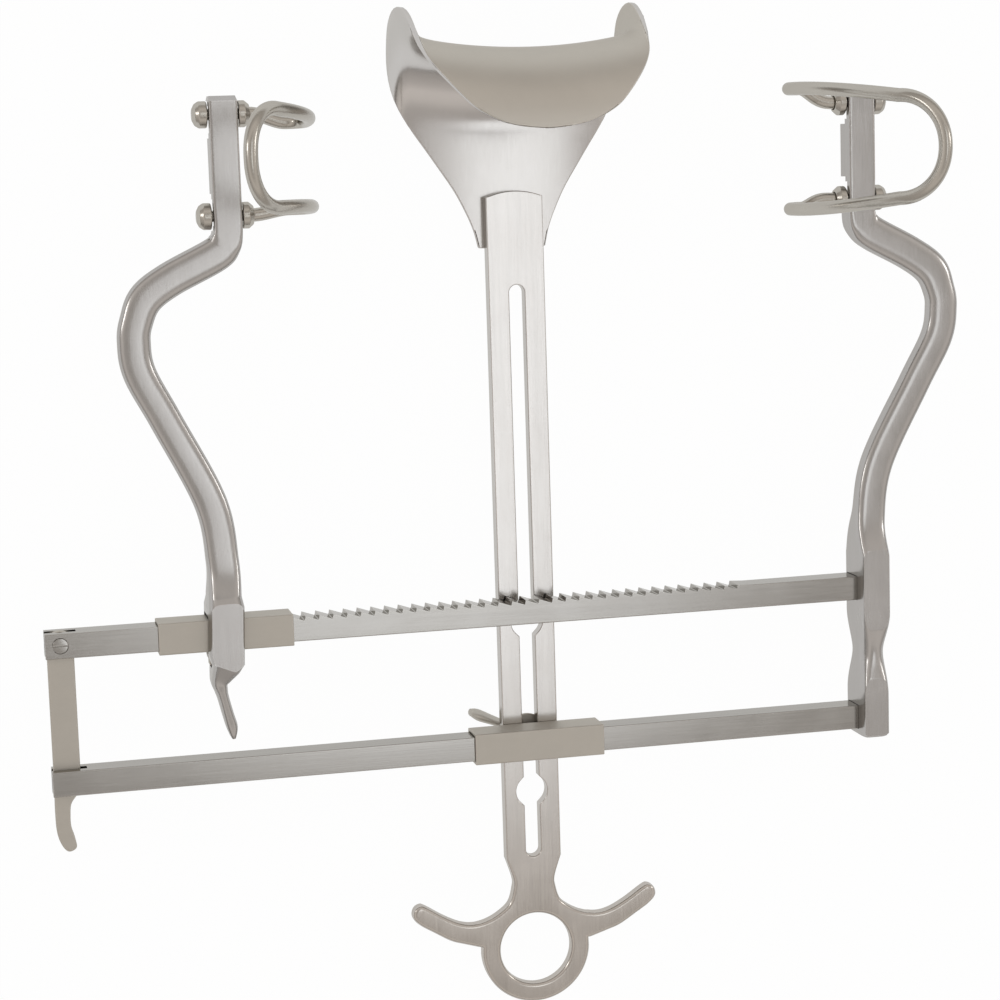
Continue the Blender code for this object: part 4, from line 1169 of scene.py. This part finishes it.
class RETRACTOR_OT_wing_screw(bpy.types.Operator):
    """Builds the wing screw with its threaded stem, and the washer under it"""

    bl_idname = "retractor.wing_screw"
    bl_label = "Wing screw and washer"

    def execute(self, context):
        steel = steels(context)["warm"]
        seat_z = SHANK_BACK - FIT - WASHER_T - FIT
        back = seat_z - HUB_T
        profile = [(0, seat_z + 0.4), (HUB_R - 0.1, seat_z), (HUB_R + 0.3, seat_z - WING_SEAT)]
        profile += [(HUB_R, back + 0.4), (HUB_R - 0.8, back), (0, back)]
        hub = turned(rounded(profile, 0.35), (0, WING_Y, 0))
        wings = [wing_shape(WING_TURN + k * math.pi, seat_z) for k in (0, 1)]
        stem = threaded(STEM_R, seat_z - 1.0, -BAR_T - FIT)
        finish_piece(
            "wing_screw_finished", hub, "wing", ["wing_screw"], steel, joins=[*wings, stem], bevel=WING_EDGE,
            sharp=55,
        )
        near = SHANK_BACK - FIT
        hole = STEM_R + FIT
        ring = [(hole, near), (hole, near - WASHER_T), (WASHER_R - 0.3, near - WASHER_T)]
        ring += [(WASHER_R, near - WASHER_T + 0.3), (WASHER_R, near)]
        finish_piece("washer_finished", turned(ring, (0, WING_Y, 0)), "wing", ["screw_washer"], steel)
        return {"FINISHED"}


# Shank and centre blade


def shank_outline(width):
    half = width / 2
    right = [(half, SHANK_TOP - 1.8), (half, SLOT_END - 0.2)]
    wing = [(NECK_W / 2, SLOT_END - RING_R * 0.4), (NECK_W / 2 + 0.1, SLOT_END - RING_R * 0.58)]
    wing += [(u * WING_REACH, RING_Y + v * RING_R - WING_DROP) for u, v in FINGER_WING]
    wing += [(RING_R * 0.995, RING_Y + RING_R * 0.1)]
    right += spline([right[-1]] + wing, 10)[1:]
    right += arc(0, RING_Y, RING_R, 0, -90, 30)[1:]
    left = [(-x, y) for x, y in reversed(right)][1:]
    right = [(x + WING_SHIFT, y) if y < SLOT_END - 4 and x > RING_R else (x, y) for x, y in right]
    return right + left + arc(0, SHANK_TOP - TONGUE_R, TONGUE_R, 112, 68, 20)[1:-1]


def slot_outline(width):
    # Each keyhole's shoulders leave the slot at 45 degrees and touch the hole's circle there.
    r = width / 2
    k = KEY_D / 2 * math.sqrt(2) - r
    slot = arc(0, SLOT_TOP - r, r, 0, 180, 24)
    for y in (KEY_UPPER, KEY_LOWER):
        slot += [(-r, y + k)] + arc(0, y, KEY_D / 2, 135, 225, 18) + [(-r, y - k)]
    slot += arc(0, SLOT_END + r, r, 180, 360, 24)
    for y in (KEY_LOWER, KEY_UPPER):
        slot += [(r, y - k)] + arc(0, y, KEY_D / 2, -45, 45, 18) + [(r, y + k)]
    return slot


class RETRACTOR_OT_shank(bpy.types.Operator):
    """Builds the slotted shank with its ring handle and finger wings"""

    bl_idname = "retractor.shank"
    bl_label = "Shank"

    def execute(self, context):
        s = context.scene.retractor_sizes
        crisp, soft = s.edge_round / MM, s.handle_round / MM

        def edge(x, y):
            # The legs keep crisp edges, which grow soft towards the handle.
            return crisp + (soft - crisp) * ease((SLOT_END + 4 - y) / 14)

        holes = [slot_outline(s.slot_width / MM), arc(0, RING_Y, s.ring_bore / MM / 2, 0, 360, 96)[:-1]]
        body = rounded_plate(shank_outline(s.shank_width / MM), holes, SHANK_BACK, SHANK_FRONT, edge, 6)
        finish_piece("shank_finished", body, "centre", ["shank"], steels(context)["shank"], sharp=35)
        return {"FINISHED"}


def sheet_point(run, t, thick):
    # The middle runs straight and then round the arch. The sides bow gently and end as flanges.
    straight = ARCH_Y - TONGUE_Y
    a = max(run - straight, 0.0) / ARCH_R
    across = 1.25 * t - 0.25 * t**5
    bow = BOW_SOFT * across**2 + (1 - BOW_SOFT) * t**12
    back = BOW_FLAT * across**2 + (1 - BOW_FLAT) * t**12 + BLADE_TURN * across * (1 - t**6)
    y = TONGUE_Y + min(run, straight) + ARCH_R * math.sin(a) + BOW_UP * bow
    deep = ARCH_R * (1 - math.cos(a))
    z = SHANK_BACK - FIT - thick / 2 + deep - BOW_BACK * back
    narrow = 1 - LIP_NARROW * ease((deep / ARCH_R - 0.8) / 0.7)
    x = BLADE_HALF * across * narrow + BLADE_YAW * deep - TONGUE_SHIFT * min(run / straight, 1.0)
    return Vector((x, y, z))


def sheet_rows():
    straight, bend = ARCH_Y - TONGUE_Y, math.pi * ARCH_R
    rows = [(v * straight, t) for v, t in EDGE_BACK]
    rows += [(straight + v * bend, t) for v, t in EDGE_ARCH]
    return spline(rows, 5)[:-1] + [(straight + bend, 0.03)]


class RETRACTOR_OT_centre_blade(bpy.types.Operator):
    """Builds the saddle-shaped centre blade from one bent sheet"""

    bl_idname = "retractor.centre_blade"
    bl_label = "Centre blade"

    def execute(self, context):
        s = context.scene.retractor_sizes
        across = 72
        bm = bmesh.new()
        grid = []
        for run, edge in sheet_rows():
            shares = [edge * (2 * k / across - 1) for k in range(across + 1)]
            grid.append([bm.verts.new(sheet_point(run, t, s.sheet / MM)) for t in shares])
        for a, b in zip(grid, grid[1:]):
            for i in range(across):
                bm.faces.new((a[i], a[i + 1], b[i + 1], b[i]))
        metals = steels(context)
        blade = finish_piece("centre_blade_finished", bm, "centre", ["centre_blade"], metals["sheet"])
        blade.data.materials.append(metals["lip"].material)
        modified(blade, "sheet", "SOLIDIFY", thickness=s.sheet, offset=0.0, material_offset=1)
        rounded_edges(blade, "rim", s.sheet * RIM_SHARE, 4, 50)
        return {"FINISHED"}


# Stage, light and camera

LAMPS = {"left_lamp": (-1.1, 0.35, 0.6), "right_lamp": (1.15, 0.3, 0.65)}
LAMP_SIZE = 0.3

# The tent's greys from the horizon to the top, and how warm they are
TENT_GREYS = (0.0, 0.5), (0.2, 0.55), (0.45, 0.68), (0.62, 0.9), (0.8, 0.82), (0.9, 0.62), (1.0, 0.58)
TENT_TINT = (1.0, 0.94, 0.89)

# The soft box: its middle and half size on each axis, as shares of its height overhead
BOX_SPANS = ("X", 0.195, 0.13), ("Y", 0.04, 0.31)
BOX_FADE = 1.35, 0.5
BOX_LIGHT = (1.62, 1.64, 1.66, 1.0)
FLOOR_GLOW = 0.97
FLOOR_DULL = 0.9
FLOOR_SIZE = 4.0
FLOOR_DROP = 0.0002


def soft_lamp(name, at, power):
    lamp = bpy.data.lights.new(name, "AREA")
    lamp.shape = "DISK"
    lamp.size = LAMP_SIZE
    lamp.energy = power
    obj = bpy.data.objects.new(name, lamp)
    obj.location = at
    obj.rotation_mode = "QUATERNION"
    obj.rotation_quaternion = (-Vector(at)).to_track_quat("-Z", "Y")
    bpy.context.scene.collection.objects.link(obj)


def studio_world():
    # A warm white tent, dimmer at its foot, with one long soft box overhead a little to the right.
    world = bpy.data.worlds.new("light_tent")
    world.use_nodes = True
    tree = world.node_tree
    back = tree.nodes["Background"]
    place = node(tree, "ShaderNodeTexCoord").outputs["Generated"]
    axes = node(tree, "ShaderNodeSeparateXYZ")
    ramp = node(tree, "ShaderNodeValToRGB")
    while len(ramp.color_ramp.elements) < len(TENT_GREYS):
        ramp.color_ramp.elements.new(0.5)
    for stop, (at, grey) in zip(ramp.color_ramp.elements, TENT_GREYS):
        stop.position = at
        stop.color = (*[grey * share for share in TENT_TINT], 1.0)
    tree.links.new(place, axes.inputs[0])
    tree.links.new(axes.outputs["Z"], ramp.inputs["Fac"])

    height = maths(tree, "MAXIMUM", axes.outputs["Z"], 0.05)
    reach = 0.0
    for way, middle, half in BOX_SPANS:
        off = maths(tree, "SUBTRACT", maths(tree, "DIVIDE", axes.outputs[way], height), middle)
        off = maths(tree, "DIVIDE", off, half)
        square = maths(tree, "MULTIPLY", off, off)
        reach = maths(tree, "MULTIPLY_ADD", square, square, reach)
    rim = node(tree, "ShaderNodeMapRange", interpolation_type="SMOOTHSTEP")
    dial(rim, From_Min=BOX_FADE[0], From_Max=BOX_FADE[1])
    tree.links.new(reach, rim.inputs["Value"])
    mix = dial(node(tree, "ShaderNodeMix", data_type="RGBA"), B=BOX_LIGHT)
    tree.links.new(rim.outputs["Result"], mix.inputs["Factor"])
    tree.links.new(ramp.outputs["Color"], mix.inputs["A"])
    tree.links.new(mix.outputs["Result"], back.inputs["Color"])
    bpy.context.scene.world = world


def floor_material(shade):
    # White to the eye and to reflections, with a faint shadow kept.
    mat = bpy.data.materials.new("floor")
    mat.use_nodes = True
    tree = mat.node_tree
    shader = dial(tree.nodes["Principled BSDF"], Base_Color=(*shade, 1.0), Roughness=FLOOR_DULL)
    glow = node(tree, "ShaderNodeEmission")
    mix = node(tree, "ShaderNodeMixShader")
    path = node(tree, "ShaderNodeLightPath")
    seen = maths(tree, "ADD", path.outputs["Is Camera Ray"], path.outputs["Is Glossy Ray"], clamp=True)
    seen = maths(tree, "ADD", seen, path.outputs["Is Transmission Ray"], clamp=True)
    tree.links.new(maths(tree, "MULTIPLY", seen, FLOOR_GLOW), mix.inputs["Fac"])
    tree.links.new(shader.outputs[0], mix.inputs[1])
    tree.links.new(glow.outputs[0], mix.inputs[2])
    tree.links.new(mix.outputs[0], tree.nodes["Material Output"].inputs["Surface"])
    return mat


class RETRACTOR_OT_stage(bpy.types.Operator):
    """Builds the floor, the soft light and the camera"""

    bl_idname = "retractor.stage"
    bl_label = "Stage"

    def execute(self, context):
        f = context.scene.retractor_finish
        bm = bmesh.new()
        bmesh.ops.create_grid(bm, x_segments=1, y_segments=1, size=FLOOR_SIZE)
        floor = thing("floor", bm)
        floor.location.z = cad_low.z - FLOOR_DROP
        floor.data.materials.append(floor_material(f.floor_colour))
        studio_world()
        for name, at in LAMPS.items():
            soft_lamp(name, at, f.lamp_power)
        camera = bpy.data.objects.new("camera", bpy.data.cameras.new("camera"))
        camera.data.lens = CAMERA_LENS
        camera.data.sensor_width = 36.0
        camera.data.clip_end = 20.0
        camera.location = HOME + CAMERA_AT * MM
        camera.rotation_euler = [math.radians(a) for a in CAMERA_TURN]
        context.scene.collection.objects.link(camera)
        context.scene.camera = camera
        context.scene.view_settings.view_transform = "Standard"
        return {"FINISHED"}


OPERATORS = (
    RETRACTOR_OT_stage,
    RETRACTOR_OT_bars,
    RETRACTOR_OT_gate,
    RETRACTOR_OT_fixed_arm,
    RETRACTOR_OT_sliding_arm,
    RETRACTOR_OT_sleeves,
    RETRACTOR_OT_side_blades,
    RETRACTOR_OT_wing_screw,
    RETRACTOR_OT_shank,
    RETRACTOR_OT_centre_blade,
)


class RETRACTOR_PT_panel(bpy.types.Panel):
    """Lists the retractor's pieces, sizes and finishes"""

    bl_label = "Retractor"
    bl_idname = "RETRACTOR_PT_panel"
    bl_space_type = "VIEW_3D"
    bl_region_type = "UI"
    bl_category = "Retractor"

    def draw(self, context):
        for group in (context.scene.retractor_sizes, context.scene.retractor_finish):
            for name in group.__annotations__:
                self.layout.prop(group, name)
        for operator in OPERATORS:
            self.layout.operator(operator.bl_idname)


CLASSES = (RetractorSizes, RetractorFinish, *OPERATORS, RETRACTOR_PT_panel)


def register():
    for kind in CLASSES:
        bpy.utils.register_class(kind)
    bpy.types.Scene.retractor_sizes = PointerProperty(type=RetractorSizes)
    bpy.types.Scene.retractor_finish = PointerProperty(type=RetractorFinish)


def unregister():
    del bpy.types.Scene.retractor_finish
    del bpy.types.Scene.retractor_sizes
    for kind in reversed(CLASSES):
        bpy.utils.unregister_class(kind)


def main():
    register()
    for operator in OPERATORS:
        group, name = operator.bl_idname.split(".")
        getattr(getattr(bpy.ops, group), name)()


if __name__ == "__main__":
    main()
